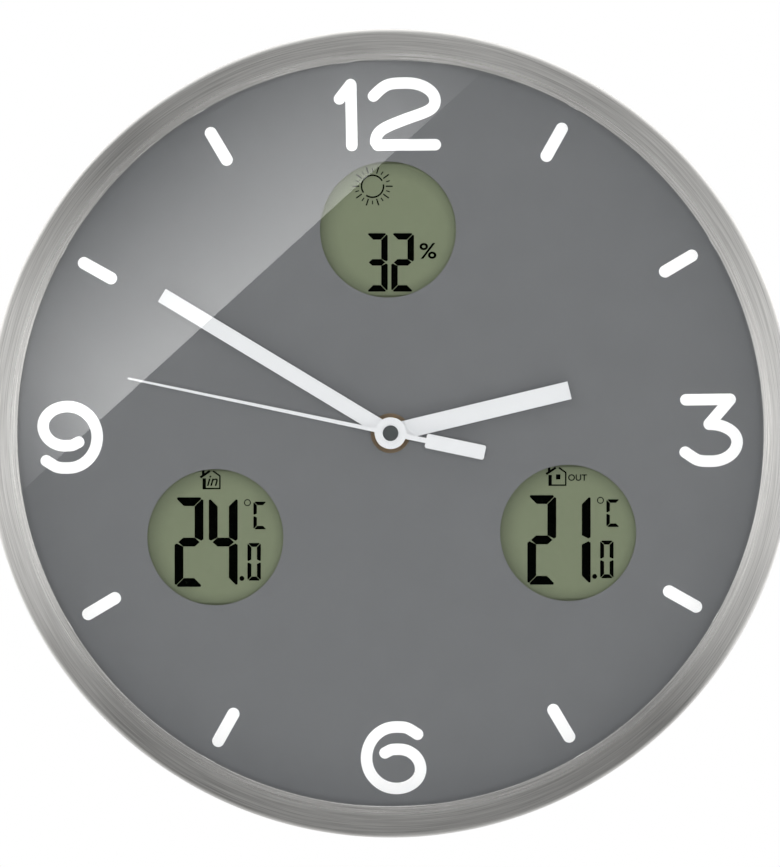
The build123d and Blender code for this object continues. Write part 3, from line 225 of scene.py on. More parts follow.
bump = add(tree, "Bump", {"Height": scratches, "Distance": 0.012 * mm, "Strength": 0.7})
rough = add(tree, "MapRange", {"Value": scratches, "From Min": noise_low, "From Max": noise_high,
                               "To Min": 0.33, "To Max": 0.40})
smoother = add(tree, "MapRange", {"Value": distance, "From Min": burnished_to * mm,
                                  "From Max": burnished_from * mm, "To Min": 0.6})
burnished = add(tree, "Math", {0: rough, 1: smoother}, operation="MULTIPLY")
tone = add(tree, "ValToRGB", {"Fac": scratches},
           stops=[(noise_low, linear("#CFCECB")), (noise_high, linear("#FBFAF7"))])
fill(shader, {"Normal": bump, "Roughness": burnished, "Base Color": tone})
finishes["brushed_aluminium"] = brushed
print("made", brushed.name)

# %% [markdown]
# ## Glass
#
# The clock's glass is a flat pane, 2 mm thick. Its Principled version would bend light and make
# the dial noisy. A flat pane hardly shifts what is behind it, so here light passes straight
# through, and only the mirror image on its face shows. Mixing a clear and a glossy shader by
# Fresnel gives that. The back face gets the inverse IOR: without it, light that leaves the
# pane at a slant would be thrown back.

# %% Flat clear glass
glass_ior = 1.5

pane, tree, shader = new_finish("flat_clear_glass", "#FFFFFF", 0.0)
clear = add(tree, "BsdfTransparent", {"Color": linear("#FFFFFF")})
mirror = add(tree, "BsdfGlossy", {"Color": linear("#FFFFFF"), "Roughness": 0.0})
back_face = add(tree, "NewGeometry").outputs["Backfacing"]
ior = add(tree, "MapRange", {"Value": back_face, "To Min": glass_ior, "To Max": 1 / glass_ior})
fresnel = add(tree, "Fresnel", {"IOR": ior})
both = add(tree, "MixShader", {0: fresnel, 1: clear, 2: mirror})
fill(tree.nodes["Material Output"], {"Surface": both})
tree.nodes.remove(shader)
finishes["clear_glass"] = pane
print("made", pane.name)

# %% [markdown]
# ## Lacquer and paint
#
# The dial is a metal sheet with grey lacquer, sprayed and satin. Its orange peel is about a
# millimetre across and only microns high. The hands are stamped aluminium under white paint,
# and the second hand's cap has dark grey paint. All come from the helper for grain, because
# their unevenness shows in the gloss alone.

# %% Lacquer and paint
add_finishes([
    ("grey_dial_lacquer", "sprayed_grey_lacquer", "#6E7072", 0.5, 1.0, 0.004, 0.02),
    ("white_hand_paint", "white_hand_paint", "#E4E6E8", 0.38, 0.8, 0.004, 0.01),
    ("dark_cap_paint", "dark_grey_cap_paint", "#434748", 0.4, 0.4, 0.003, 0.03),
])

# %% [markdown]
# The dial's print is matt white ink, silk-screened in one dense layer. Such ink holds an
# optical brightener, which gives back a little more light than falls on it. A brighter colour
# than white isn't possible, so the ink gets a trace of glow, which is painted light: a faint
# emission that makes the print brighter than the lamps alone make it.

# %% White ink
ink, tree, shader = new_finish("silk_screened_white_ink", "#FEFFFF", 0.7)
# painted light: a faint emission makes the white print glow
fill(shader, {"Specular IOR Level": 0.1, "Emission Color": linear("#FFFFFF"),
              "Emission Strength": 0.06})
white_ink_painted_glow = speckled((ink, tree, shader), grain=0.3, depth=0.002, tint=0.005)
print("made", white_ink_painted_glow.name)

# %% [markdown]
# ## Liquid-crystal displays
#
# A reflective display is two glass plates with polarisers. Behind them a grey-green film
# scatters the light, which gives the flat olive colour. The plates could be modelled in glass,
# but from the front only the film's colour is left of them. The film lies deep behind the
# window's edge, which shades it towards its rim, most in the upper left. That shade is painted
# into the film's colour: it darkens with the distance from a point a little right of and below
# each window's middle.

# %% Display film
lightest_right, lightest_down = 1.6, 0.8
shade_start, shade_end = 20.0, 26.5

olive, tree, shader = new_finish("olive_reflective_film", "#747D64", 0.55)
finishes["lcd_glass"] = speckled((olive, tree, shader), grain=0.15, depth=0.001, tint=0.02)
plain_tone = shader.inputs["Base Color"].links[0].from_socket
spot = add(tree, "TexCoord").outputs["Object"]
nearest = None
for middle in windows.values():
    lightest = (middle.x + lightest_right * mm, middle.y, middle.z - lightest_down * mm)
    gap = add(tree, "VectorMath", {0: spot, 1: lightest}, operation="DISTANCE").outputs["Value"]
    if nearest is not None:
        gap = add(tree, "Math", {0: nearest, 1: gap}, operation="MINIMUM")
    nearest = gap
# painted shade: the film's colour darkens towards each window's rim, most in the upper left
shade = add(tree, "MapRange", {"Value": nearest, "From Min": shade_start * mm,
                               "From Max": shade_end * mm, "To Min": 1.02, "To Max": 0.72})
painted_shade_tone = add(tree, "VectorMath", {0: plain_tone, 1: shade}, operation="MULTIPLY")
fill(shader, {"Base Color": painted_shade_tone})
print("made", olive.name)

# %% [markdown]
# Segments that are switched on are black, because the two polarisers then block the light. The
# front polariser is matt, so they mirror nothing and their specular level is zero.

# %% Switched-on segments
black, tree, shader = new_finish("switched_on_segment", "#030403", 0.6)
fill(shader, {"Specular IOR Level": 0.0})
segment_black = speckled((black, tree, shader), grain=0.15, depth=0.001, tint=0.02)
print("made", segment_black.name)

# %% [markdown]
# ## Metals inside the clock
#
# These metals are turned, stamped or wound, and each keeps small tool marks. Brass is warm and
# half bright, bronzed brass duller. Zinc plate is cool grey, nickel plate shinier, stamped iron
# matt, the magnet dark, tinned wire silvery. The crystal's can is drawn, so its grain is
# stretched along the way it was pulled. Pictures of metal could be laid on them, but colour and
# gloss tell a metal better. They keep their default IOR.

# %% Metals
add_finishes([
    ("brass", "turned_brass", "#B4925A", 0.32, 0.2, 0.004, 0.05),
    ("bronzed_brass", "bronzed_brass", "#A8957C", 0.45, 0.2, 0.004, 0.08),
    ("zinc_plated_steel", "zinc_plated_steel", "#B9BBBD", 0.35, 0.3, 0.004, 0.06),
    ("plated_spring_steel", "nickel_plated_spring_steel", "#C6C2B8", 0.25, 0.3, 0.003, 0.05),
    ("nickel_iron", "stamped_nickel_iron", "#9A9A97", 0.4, 0.25, 0.005, 0.06),
    ("grey_magnet", "sintered_magnet", "#4A4A4C", 0.5, 0.1, 0.006, 0.08),
    ("tinned_wire", "tinned_copper_wire", "#BDB6A6", 0.35, 0.3, 0.004, 0.06),
], metallic=1.0)
drawn_can = new_finish("drawn_steel_can", "#C4C4C4", 0.22, metallic=1.0)
finishes["bright_steel_can"] = speckled(
    drawn_can, grain=0.3, depth=0.002, tint=0.04, stretch=(0.1, 1, 1))
print("made", drawn_can[0].name)

# %% [markdown]
# The motor's coil is fine enamelled copper wire, wound side by side. Real turns are 0.1 mm
# apart, and modelling them would take more faces than the rest of the clock. A wave pattern
# shows them as ridges instead, drawn 0.3 mm apart so that they can be seen.

# %% Copper winding
wire_spacing = 0.3
wave_scale = 0.314  # a wave pattern of scale 1 repeats every 0.314 units

winding, tree, shader = new_finish("enamelled_copper_winding", "#9A4B26", 0.3, metallic=0.8)
wires = add(tree, "TexWave", {
    "Vector": add(tree, "TexCoord").outputs["Object"], "Scale": wave_scale / (wire_spacing * mm),
    "Distortion": 0.4}, bands_direction="X", wave_profile="SIN")
bump = add(tree, "Bump", {"Height": wires.outputs["Fac"], "Distance": 0.08 * mm, "Strength": 1.0})
fill(shader, {"Normal": bump})
finishes["copper_winding"] = winding
print("made", winding.name)

# %% [markdown]
# ## Plastics and rubber
#
# The back is moulded ABS with a spark-eroded texture, like fine leather, about 0.35 mm a
# grain, which dulls its sheen. The movement's housing is smoother and glossier, and the keys
# lie between. The spacer ring is matt and pale, the sensor's housing and the acetal wheels are
# milky, nylon is yellowish, the ribbon smooth and grey, and rubber nearly without gloss. They
# differ in colour, gloss and grain only, so a table holds them.

# %% Moulded plastics and rubber
add_finishes([
    ("black_case_plastic", "textured_black_abs", "#191A1B", 0.55, 0.35, 0.03, 0.08),
    ("black_movement_plastic", "moulded_black_polystyrene", "#141415", 0.38, 0.5, 0.006, 0.06),
    ("black_display_plastic", "moulded_display_frame", "#1C1D1C", 0.5, 0.4, 0.01, 0.06),
    ("grey_spacer_plastic", "matt_pale_spacer", "#DADBDC", 0.6, 0.4, 0.01, 0.03),
    ("black_switch_plastic", "moulded_key_plastic", "#202122", 0.42, 0.3, 0.01, 0.06),
    ("white_sensor_plastic", "white_sensor_housing", "#E2E1DC", 0.45, 0.4, 0.006, 0.03),
    ("white_gear_acetal", "natural_acetal", "#E6E3D8", 0.38, 0.5, 0.004, 0.03),
    ("natural_nylon", "natural_nylon", "#D8CFB4", 0.42, 0.4, 0.006, 0.04),
    ("black_rubber", "black_rubber", "#161616", 0.8, 0.3, 0.01, 0.08),
    ("grey_connector_rubber", "layered_connector_rubber", "#5B5C5E", 0.7, 0.3, 0.01, 0.05),
    ("grey_ribbon_pvc", "grey_ribbon_pvc", "#9EA0A2", 0.45, 0.6, 0.01, 0.03),
])

# %% [markdown]
# ## Circuit board
#
# The boards are glass fibre under green solder mask. Copper tracks lie under the mask and show
# as slightly lighter, raised lines. They could be drawn one by one, but the boards are only
# glimpsed, so the joints of a brick pattern, laid in the plane of the board, stand in.

# %% Green solder mask with tracks
brick_size = 8

solder_mask, tree, shader = new_finish("green_solder_mask", "#1F5A36", 0.35)
upright = add(tree, "Mapping", {"Vector": add(tree, "TexCoord").outputs["Object"],
                                "Rotation": (pi / 2, 0, 0)})
tracks = add(tree, "TexBrick", {
    "Vector": upright, "Scale": 1 / (brick_size * mm), "Mortar Size": 0.035, "Mortar Smooth": 0.2,
    "Color1": linear("#1B5232"), "Color2": linear("#1E5A37"), "Mortar": linear("#2F7A4C")})
bump = add(tree, "Bump", {"Height": tracks.outputs["Fac"], "Distance": 0.03 * mm, "Strength": 0.6})
fill(shader, {"Normal": bump, "Base Color": tracks})
finishes["green_board"] = solder_mask
print("made", solder_mask.name)

# %% [markdown]
# ## Battery sleeves
#
# A cell is a steel can in a shrunk plastic sleeve. The sleeve here is plain: a dark body and a
# copper-coloured band towards the positive end, with bare steel at both ends. Separate rings
# would work too, but one ramp along the cell gives the colours and another says what is
# metal. Each cell measures its own length, and the lower of the two small cells lies the other
# way round.

# %% Battery sleeves
sleeve_grain = 0.8
band_starts = (0.0, 0.015, 0.70, 0.955)
band_colours = ("#B9BABC", "#1B2024", "#B8713F", "#B9BABC")
band_metals = ("#FFFFFF", "#000000", "#FFFFFF", "#FFFFFF")
sleeves = {}
for node, name, nub_side in (("aa_battery", "aa_cell_sleeve", 1),
                             ("upper_aaa_battery", "upper_aaa_sleeve", 1),
                             ("lower_aaa_battery", "lower_aaa_sleeve", -1)):
    low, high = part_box(node)
    minus, plus = (low.x, high.x) if nub_side > 0 else (high.x, low.x)
    sleeves[node], tree, shader = new_finish(name, "#1B2024", 0.28)
    spot = add(tree, "TexCoord").outputs["Object"]
    across = add(tree, "SeparateXYZ", {"Vector": spot})
    along = add(tree, "MapRange", {"Value": across, "From Min": minus, "From Max": plus})
    for socket, bands in (("Base Color", band_colours), ("Metallic", band_metals)):
        tones = [(start, linear(band)) for start, band in zip(band_starts, bands)]
        ramp = add(tree, "ValToRGB", {"Fac": along}, stops=tones)
        ramp.color_ramp.interpolation = "CONSTANT"
        fill(shader, {socket: ramp})
    noise = add(tree, "TexNoise", {"Vector": spot, "Scale": 1 / (sleeve_grain * mm), "Detail": 3.0})
    fill(shader, {"Normal": add(tree, "Bump", {
        "Height": noise, "Distance": 0.006 * mm, "Strength": 1.0})})
    print("made", name)

# %% [markdown]
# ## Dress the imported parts
#
# The record names each part's material slot. Each slot gets one of the finishes above, and
# each battery cell gets its own sleeve.

# %% Give every part its finish
for part in frame["record"]["subparts"]:
    node = frame["nodes"][part["node"]]
    node.data.materials.clear()
    node.data.materials.append(sleeves.get(part["node"]) or finishes[part["material_slot"]])

# %% [markdown]
# ## Small helpers for new pieces
#
# Each operator acts on all that is selected, so one helper leaves a single piece selected. A
# finished piece gets its name, its finish, smooth shading and the body that it moves with, and
# its place goes into its mesh, so that every new piece lies in the clock's own frame.

# %% Helpers for selecting and finishing a piece
def alone(piece):
    """Leaves only this piece selected and active, in object mode."""
    if bpy.context.object and bpy.context.object.mode != "OBJECT":
        bpy.ops.object.mode_set(mode="OBJECT")
    bpy.ops.object.select_all(action="DESELECT")
    piece.select_set(True)
    bpy.context.view_layer.objects.active = piece


def apply_place():
    """Puts the place, turn and size of the selected pieces into their meshes."""
    bpy.ops.object.transform_apply(location=True, rotation=True, scale=True)


def finished(piece, name, body, finish, smooth=30):
    """Names a piece and gives it its finish, its smooth shading and its body."""
    alone(piece)
    apply_place()
    piece.name = name
    piece.data.name = name
    piece.data.materials.clear()
    piece.data.materials.append(finish)
    bpy.ops.object.shade_smooth_by_angle(angle=radians(smooth))
    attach(piece, body)
    print(name, "has", len(piece.data.polygons), "faces and rides on", body)
    return piece


# %% [markdown]
# ## The bezel, turned smooth
#
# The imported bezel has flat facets. A bezel is spun on a lathe, and the same is done here: a
# circle of points is extruded again and again to the next radius and height of the outline,
# and the last ring is merged with the first. A screw modifier could do it too, but this way
# each ring's place is given as it is in the drawing, from the axis and from the wall.

# %% A helper that turns a ring
def turned(outline, steps):
    """Makes a closed ring from an outline of (radius, forward) in millimetres."""
    radius, forward = outline[0]
    bpy.ops.object.select_all(action="DESELECT")
    bpy.ops.mesh.primitive_circle_add(vertices=steps, radius=radius * mm, rotation=(pi / 2, 0, 0),
                                      location=(0, -forward * mm, spindle.z))
    ring = bpy.context.object
    bpy.ops.object.mode_set(mode="EDIT")
    bpy.ops.mesh.select_mode(type="EDGE")
    bpy.ops.mesh.select_all(action="SELECT")
    for next_radius, next_forward in outline[1:] + outline[:1]:
        bpy.ops.mesh.extrude_edges_move(
            TRANSFORM_OT_translate={"value": (0, (forward - next_forward) * mm, 0)})
        grow = next_radius / radius
        bpy.ops.transform.resize(value=(grow, 1, grow), center_override=spindle)
        radius, forward = next_radius, next_forward
    bpy.ops.mesh.select_all(action="SELECT")
    bpy.ops.mesh.remove_doubles(threshold=0.001 * mm)
    bpy.ops.mesh.normals_make_consistent(inside=False)
    bpy.ops.object.mode_set(mode="OBJECT")
    return ring


# %% [markdown]
# The front rises from a thin lip on the glass to a crest at its inner edge, falls gently to a
# shoulder, and rolls over a 3 mm rounding into the side. The back is open: the side wall ends
# in a bead behind the case, and the sheet's inner face follows the front.

# %% Turn the bezel
rim = bezel_radius / mm
crest = -bezel_low.y / mm
seat = -glass_front / mm
ring_width = 11.7
shoulder = (rim - 7.6, crest - 0.35)
wall = 1.2
rounding = 3.0
side_top = seat - 1.4
front = [(rim - ring_width, seat), (rim - ring_width, crest - 0.4), (rim - 11.66, crest - 0.15),
         (rim - 11.5, crest), (rim - 10.4, crest - 0.06), (rim - 8.2, crest - 0.25), shoulder]
roll = []
for lean in range(18, 91, 9):
    roll.append((rim - rounding + rounding * sin(radians(lean)),
                 side_top + rounding * cos(radians(lean))))
bead = [(rim, 1.4), (rim - 0.4, 1.0), (rim - 3.4, 1.0), (rim - 3.4, 2.2), (rim - wall, 2.2)]
back = [(rim - wall, side_top), (rim - 3.0, seat + 0.4), (shoulder[0], shoulder[1] - wall),
        (rim - 10.6, seat)]
bezel = turned(front + roll + bead + back, 360)
finished(bezel, "spun_bezel", "case", brushed, smooth=24)
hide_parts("bezel")

# %% [markdown]
# ## The print on the dial
#
# The print is a flat layer of ink. A picture laid on the dial could show it, but thin shapes
# stay sharp when seen close up. They are shaped in edit mode, where a tool acts on all that is
# selected, so a helper selects what passes a test.

# %% Helpers for pieces in parts
def on_dial(across, up):
    """A place on the dial, in millimetres from the spindle."""
    return Vector((across * mm, dial_front, spindle.z + up * mm))


def edit_picked(piece, kind, wanted):
    """Goes to edit mode with the vertices, edges or faces that pass a test selected."""
    alone(piece)
    bpy.ops.object.mode_set(mode="EDIT")
    bpy.ops.mesh.select_mode(type=kind)
    bpy.ops.mesh.select_all(action="DESELECT")
    bpy.ops.object.mode_set(mode="OBJECT")
    mesh = piece.data
    for item in {"VERT": mesh.vertices, "EDGE": mesh.edges, "FACE": mesh.polygons}[kind]:
        item.select = wanted(item)
    bpy.ops.object.mode_set(mode="EDIT")


def joined(pieces):
    """Joins several meshes into the first."""
    alone(pieces[0])
    for piece in pieces[1:]:
        piece.select_set(True)
    bpy.ops.object.join()
    return pieces[0]


def turned_copy(piece, clock_angle):
    """A copy of a piece with its own mesh, turned clockwise round the spindle."""
    copy = piece.copy()
    copy.data = piece.data.copy()
    bpy.context.collection.objects.link(copy)
    alone(copy)
    apply_place()
    copy.data.transform(Matrix.Translation(spindle) @ Matrix.Rotation(radians(clock_angle), 4, "Y")
                        @ Matrix.Translation(-spindle))
    return copy


# %% [markdown]
# Eight of the hours are marked by a bar with round ends, printed along the dial's radius. A
# bar could be a line drawn with a pen, but a flat disc becomes one in a single step: the half
# of it that faces outwards is moved outwards. It is made once, and each copy is turned round
# the spindle. The print sits 0.6 mm low on the dial, as in the photograph.

# %% Print the hour bars
ink_height = 0.08
bar_length, bar_width, bar_circle = 16.1, 4.6, 125.0
print_shift = Vector((-0.2 * mm, 0, -0.6 * mm))

stretch = bar_length - bar_width
disc_middle = on_dial(0, bar_circle - stretch / 2)
bpy.ops.object.select_all(action="DESELECT")
bpy.ops.mesh.primitive_cylinder_add(
    vertices=48, radius=bar_width / 2 * mm, depth=ink_height * mm, rotation=(pi / 2, 0, 0),
    location=disc_middle - Vector((0, ink_height / 2 * mm, 0)))
first_bar = bpy.context.object
apply_place()
edit_picked(first_bar, "VERT", lambda v: v.co.z > disc_middle.z + 0.01 * mm)
bpy.ops.transform.translate(value=(0, 0, stretch * mm))
bpy.ops.object.mode_set(mode="OBJECT")
bars = joined([turned_copy(first_bar, 30 * hour) for hour in (1, 2, 4, 5, 7, 8, 10, 11)])
bars.location = print_shift
bpy.data.objects.remove(first_bar)
finished(bars, "hour_bars", "case", white_ink_painted_glow)

# %% [markdown]
# ## The numerals
#
# The four numerals are drawn with one pen 4.3 mm wide, so each is a line with a thickness and
# round ends. No font has just these shapes, but a Bezier curve with a round bevel is such a
# line in space. Each point of a stroke has a heading, and the handles point along it, which
# gives true quarter curves. The tube is made a mesh, balls close its ends, and all is pressed
# flat to the thickness of ink.

# %% A pen that draws strokes on the dial
pen_width = 4.3
quarter_handle = 0.5523  # a handle this long, in radii, makes a quarter of a circle


def pen_stroke(points):
    """Draws one stroke. Points are (across, up, heading) in millimetres and degrees."""
    bpy.ops.object.select_all(action="DESELECT")
    bpy.ops.curve.primitive_bezier_curve_add(location=(0, 0, 0))
    stroke = bpy.context.object
    line = stroke.data.splines[0]
    line.bezier_points.add(len(points) - 2)
    places = [on_dial(across, up) for across, up, _ in points]
    ways = [Vector((cos(radians(h)), 0, sin(radians(h)))) for _, _, h in points]
    last = len(points) - 1
    for i, point in enumerate(line.bezier_points):
        before = (places[i] - places[max(i - 1, 0)]).dot(ways[i])
        after = (places[min(i + 1, last)] - places[i]).dot(ways[i])
        point.handle_left_type = point.handle_right_type = "FREE"
        point.co = places[i]
        point.handle_left = places[i] - ways[i] * quarter_handle * before
        point.handle_right = places[i] + ways[i] * quarter_handle * after
    stroke.data.resolution_u = 16
    stroke.data.bevel_depth = pen_width / 2 * mm
    stroke.data.bevel_resolution = 6
    stroke.data.use_fill_caps = True
    alone(stroke)
    bpy.ops.object.convert(target="MESH")
    pieces = [stroke]
    for end in (places[0], places[-1]):
        bpy.ops.mesh.primitive_uv_sphere_add(segments=28, ring_count=14, radius=pen_width / 2 * mm,
                                             location=end, rotation=(pi / 2, 0, 0))
        pieces.append(bpy.context.object)
    return joined(pieces)


def pressed_flat(piece, height, front):
    """Presses a piece along Y to a thin layer whose middle is at a front face."""
    alone(piece)
    apply_place()
    depths = [v.co.y for v in piece.data.vertices]
    share = height * mm / (max(depths) - min(depths))
    edit_picked(piece, "VERT", lambda v: True)
    bpy.ops.transform.resize(value=(1, share, 1), center_override=(0, front, 0))
    bpy.ops.object.mode_set(mode="OBJECT")
    return piece


# %% [markdown]
# Each numeral has a middle on the dial, and strokes with their points round that middle. They
# could be drawn by eye, but measured points can be mended one by one.

# %% Draw 12, 3, 6 and 9
numerals = {
    "twelve": (0.2, 118.9, [
        [(-17.7, 5.9, 52), (-13.5, 11.2, 52)],
        [(-13.4, 11.0, -90), (-13.3, -11.5, -90)],
        [(-5.0, 6.8, 45), (7.3, 11.5, 0), (17.9, 4.8, -90), (5.4, -2.5, 201), (-4.4, -10.4, -90)],
        [(-3.7, -11.5, 0), (17.8, -11.6, 0)],
    ]),
    "three": (119.4, -0.4, [
        [(-9.2, 11.5, 0), (7.3, 11.5, 0)],
        [(7.3, 11.4, 229), (-0.6, 2.4, 229)],
        [(-0.6, 2.3, 0), (9.7, -4.3, -90), (0.2, -11.5, 180), (-9.7, -8.0, 145)],
    ]),
    "six": (-0.4, -121.0, [
        [(9.1, 8.7, 147), (0.8, 11.5, 180), (-10.0, -0.1, -90), (1.1, -11.4, 0), (10.1, -4.2, 90),
         (2.0, 3.2, 180), (-3.1, 1.9, 208)],
    ]),
    "nine": (-119.3, 0, [
        [(-9.1, -8.7, -33), (-0.8, -11.5, 0), (10.0, 0.1, 90), (-1.1, 11.4, 180), (-10.1, 4.2, -90),
         (-2.0, -3.2, 0), (3.1, -1.9, 28)],
    ]),
}
strokes = []
for across, up, lines in numerals.values():
    for line in lines:
        strokes.append(pen_stroke([(across + x, up + y, heading) for x, y, heading in line]))
layer = pressed_flat(joined(strokes), 2 * ink_height, dial_front)
finished(layer, "hour_numerals", "case", white_ink_painted_glow, smooth=60)

# %% [markdown]
# ## Display segments
#
# A digit has seven segments. Each is a flat bar whose inner edge is shorter, so that its ends
# meet the next segments in a thin gap, and whose two outer corners are cut off a little. A
# picture of the digits could be laid on the panel, but shapes stay sharp when seen close up. A
# plane is stretched to the bar, its inner corners are pushed in, its outer corners are
# bevelled, and the face is extruded to a thin layer. The middle segment is pointed at both
# ends.

# %% Make one segment
segment_height = 0.1
corner_cut = 0.28
point_length = 0.55


def thickened(piece):
    """Extrudes a flat face at Y = 0 forward to a thin layer."""
    edit_picked(piece, "FACE", lambda f: True)
    bpy.ops.mesh.extrude_region_move(
        TRANSFORM_OT_translate={"value": (0, -segment_height * mm, 0)})
    bpy.ops.mesh.select_all(action="SELECT")
    bpy.ops.mesh.normals_make_consistent(inside=False)
    bpy.ops.object.mode_set(mode="OBJECT")
    return piece


def flat_bar(length, thick):
    """A rectangle in the plane of the dial, in millimetres."""
    bpy.ops.object.select_all(action="DESELECT")
    bpy.ops.mesh.primitive_plane_add(size=1, rotation=(pi / 2, 0, 0))
    bar = bpy.context.object
    bar.scale = (length * mm, thick * mm, 1)
    apply_place()
    return bar


def edge_segment(length, thick, left_cut, right_cut):
    """A segment whose outer edge is up and whose lower corners are pushed in by the cuts."""
    bar = flat_bar(length, thick)
    for side, cut in ((-1, left_cut), (1, right_cut)):
        edit_picked(bar, "VERT", lambda v: v.co.z < 0 and v.co.x * side > 0)
        bpy.ops.transform.translate(value=(-side * cut * mm, 0, 0))
    edit_picked(bar, "VERT", lambda v: v.co.z > 0)
    bpy.ops.mesh.bevel(offset=corner_cut * thick * mm, segments=1, affect="VERTICES")
    bpy.ops.object.mode_set(mode="OBJECT")
    return thickened(bar)


def middle_segment(length, thick):
    """The segment across the middle, pointed at both ends."""
    bar = flat_bar(length, thick)

    def stands_upright(edge):
        """The ends of an upright edge lie as far above the middle as below it."""
        return abs(sum(bar.data.vertices[v].co.z for v in edge.vertices)) < 1e-7

    edit_picked(bar, "EDGE", stands_upright)
    bpy.ops.mesh.subdivide(number_cuts=1)
    bpy.ops.object.mode_set(mode="OBJECT")
    edit_picked(bar, "VERT", lambda v: abs(v.co.z) > 0.1 * thick * mm)
    shorter = (length - 2 * point_length * thick) / length
    bpy.ops.transform.resize(value=(shorter, 1, 1), center_override=(0, 0, 0))
    bpy.ops.object.mode_set(mode="OBJECT")
    return thickened(bar)


# %% [markdown]
# The seven segments go by letters: a is the top one, b to f follow clockwise, and g is the one
# in the middle. A table says which are lit for each sign, and another where each one stands.

# %% Put segments together to digits
lit = {"0": "abcdef", "1": "bc", "2": "abged", "3": "abgcd", "4": "fgbc", "C": "afed"}
segment_gap = 0.2


def placed(piece, x, y, turn=0.0):
    """Turns a flat piece in the plane of the dial, in degrees, and moves it to x and y."""
    piece.rotation_euler = (0, radians(-turn), 0)
    piece.location = (x * mm, 0, y * mm)
    return piece


def digit(shown, x, y, width, height, thick):
    """The lit segments of a digit whose middle is at x and y on its panel."""
    side, half, quarter = (width - thick) / 2, (height - thick) / 2, height / 4
    tall, wide = height / 2 - segment_gap, width - 2 * segment_gap
    edges = {  # length, left cut, right cut, place across and up, turn
        "a": (wide, thick, thick, 0, half, 0),
        "b": (tall, thick, thick / 2, side, quarter, -90),
        "c": (tall, thick / 2, thick, side, -quarter, -90),
        "d": (wide, thick, thick, 0, -half, 180),
        "e": (tall, thick, thick / 2, -side, -quarter, 90),
        "f": (tall, thick / 2, thick, -side, quarter, 90),
    }
    bars = []
    for name in lit[shown]:
        if name == "g":
            length = width - thick + 2.5 * segment_gap
            bars.append(placed(middle_segment(length, thick), x, y))
        else:
            length, left_cut, right_cut, across, up, turn = edges[name]
            bars.append(placed(edge_segment(length, thick, left_cut, right_cut),
                               x + across, y + up, turn))
    return bars


# %% [markdown]
# ## Marks on the displays
#
# Besides digits, the panels show a sun, two small houses, the signs for per cent and degrees,
# and the words for inside and outside. Rings are circles extruded inwards, with the faces in a
# gap deleted. Straight lines are flat bars, which is quicker than converting curves.

# %% Rings, lines and dots
def flat_circle(radius, **settings):
    """A circle in the plane of the dial, in millimetres."""
    bpy.ops.object.select_all(action="DESELECT")
    bpy.ops.mesh.primitive_circle_add(radius=radius * mm, rotation=(pi / 2, 0, 0), **settings)
    apply_place()
    return bpy.context.object


def flat_ring(x, y, outer, stroke, gaps=()):
    """A ring, or a part of one. Gaps are pairs of angles, anticlockwise from the right."""
    ring = flat_circle(outer, vertices=72)
    edit_picked(ring, "EDGE", lambda e: True)
    bpy.ops.mesh.extrude_edges_move()
    shrink = (outer - stroke) / outer
    bpy.ops.transform.resize(value=(shrink, 1, shrink), center_override=(0, 0, 0))
    bpy.ops.object.mode_set(mode="OBJECT")

    def in_gap(face):
        turn = degrees(atan2(face.center.z, face.center.x)) % 360
        return any(low <= turn <= high for low, high in gaps)

    if gaps:
        edit_picked(ring, "FACE", in_gap)
        bpy.ops.mesh.delete(type="FACE")
        bpy.ops.object.mode_set(mode="OBJECT")
    return placed(thickened(ring), x, y)


def flat_dot(x, y, radius):
    """A filled disc."""
    return placed(thickened(flat_circle(radius, vertices=32, fill_type="NGON")), x, y)


def flat_line(x0, y0, x1, y1, stroke):
    """A straight line with square ends, from one place to another."""
    run = Vector((x1 - x0, y1 - y0))
    bar = thickened(flat_bar(run.length, stroke))
    return placed(bar, (x0 + x1) / 2, (y0 + y1) / 2, degrees(atan2(run.y, run.x)))


# %% [markdown]
# The words and the per cent sign are set in Blender's own plain font, which is quicker than
# drawing them, then made a mesh and scaled to their real width and height.

# %% Words
size_per_height = 1.4  # of this font, for capital letters


def word(letters, left, right, low, high, lean=0.0, bold=0.0):
    """A word that fills a rectangle on the panel. Bold is what each stroke gains, in mm."""
    bpy.ops.object.select_all(action="DESELECT")
    bpy.ops.object.text_add(rotation=(pi / 2, 0, 0))
    text = bpy.context.object
    text.data.body = letters
    text.data.shear = lean
    text.data.offset = bold * mm
    text.data.size = (high - low) * mm * size_per_height
    text.data.extrude = segment_height / 2 * mm
    bpy.ops.object.convert(target="MESH")
    apply_place()
    xs = [v.co.x for v in text.data.vertices]
    zs = [v.co.z for v in text.data.vertices]
    wider = (right - left) * mm / (max(xs) - min(xs))
    taller = (high - low) * mm / (max(zs) - min(zs))
    text.scale = (wider, 1, taller)
    text.location = (left * mm - min(xs) * wider, -segment_height / 2 * mm,
                     low * mm - min(zs) * taller)
    return text


# %% [markdown]
# The sun and the houses are drawn from rings and lines, with the measures of the photograph.

# %% Draw the sun, the houses and the degree sign
def sun(x, y):
    """A broken ring with ten long and ten short rays."""
    marks = [flat_ring(x, y, 4.4, 0.58, gaps=((8, 28), (214, 236)))]
    long_ray, short_ray = (4.95, 7.5, 0.48), (5.35, 6.75, 0.38)
    for ray in range(20):
        turn = radians(18 * ray)
        start, stop, stroke = long_ray if ray % 2 == 0 else short_ray
        marks.append(flat_line(x + start * cos(turn), y + start * sin(turn),
                               x + stop * cos(turn), y + stop * sin(turn), stroke))
    return marks


def house(x, y):
    """A house 6.7 mm wide, drawn from its lower left corner: walls, roof and chimney."""
    lines = [
        (0.63, 0, 0.63, 4.05, 1.26), (0, 0.25, 6.7, 0.25, 0.54), (6.45, 0, 6.45, 4.95, 0.54),
        (3.9, 6.75, 6.55, 4.9, 0.58), (-0.85, 4.35, 2.75, 6.8, 0.85), (0.25, 5.4, 0.25, 7.05, 0.9),
    ]
    return [flat_line(x + x0, y + y0, x + x1, y + y1, stroke) for x0, y0, x1, y1, stroke in lines]


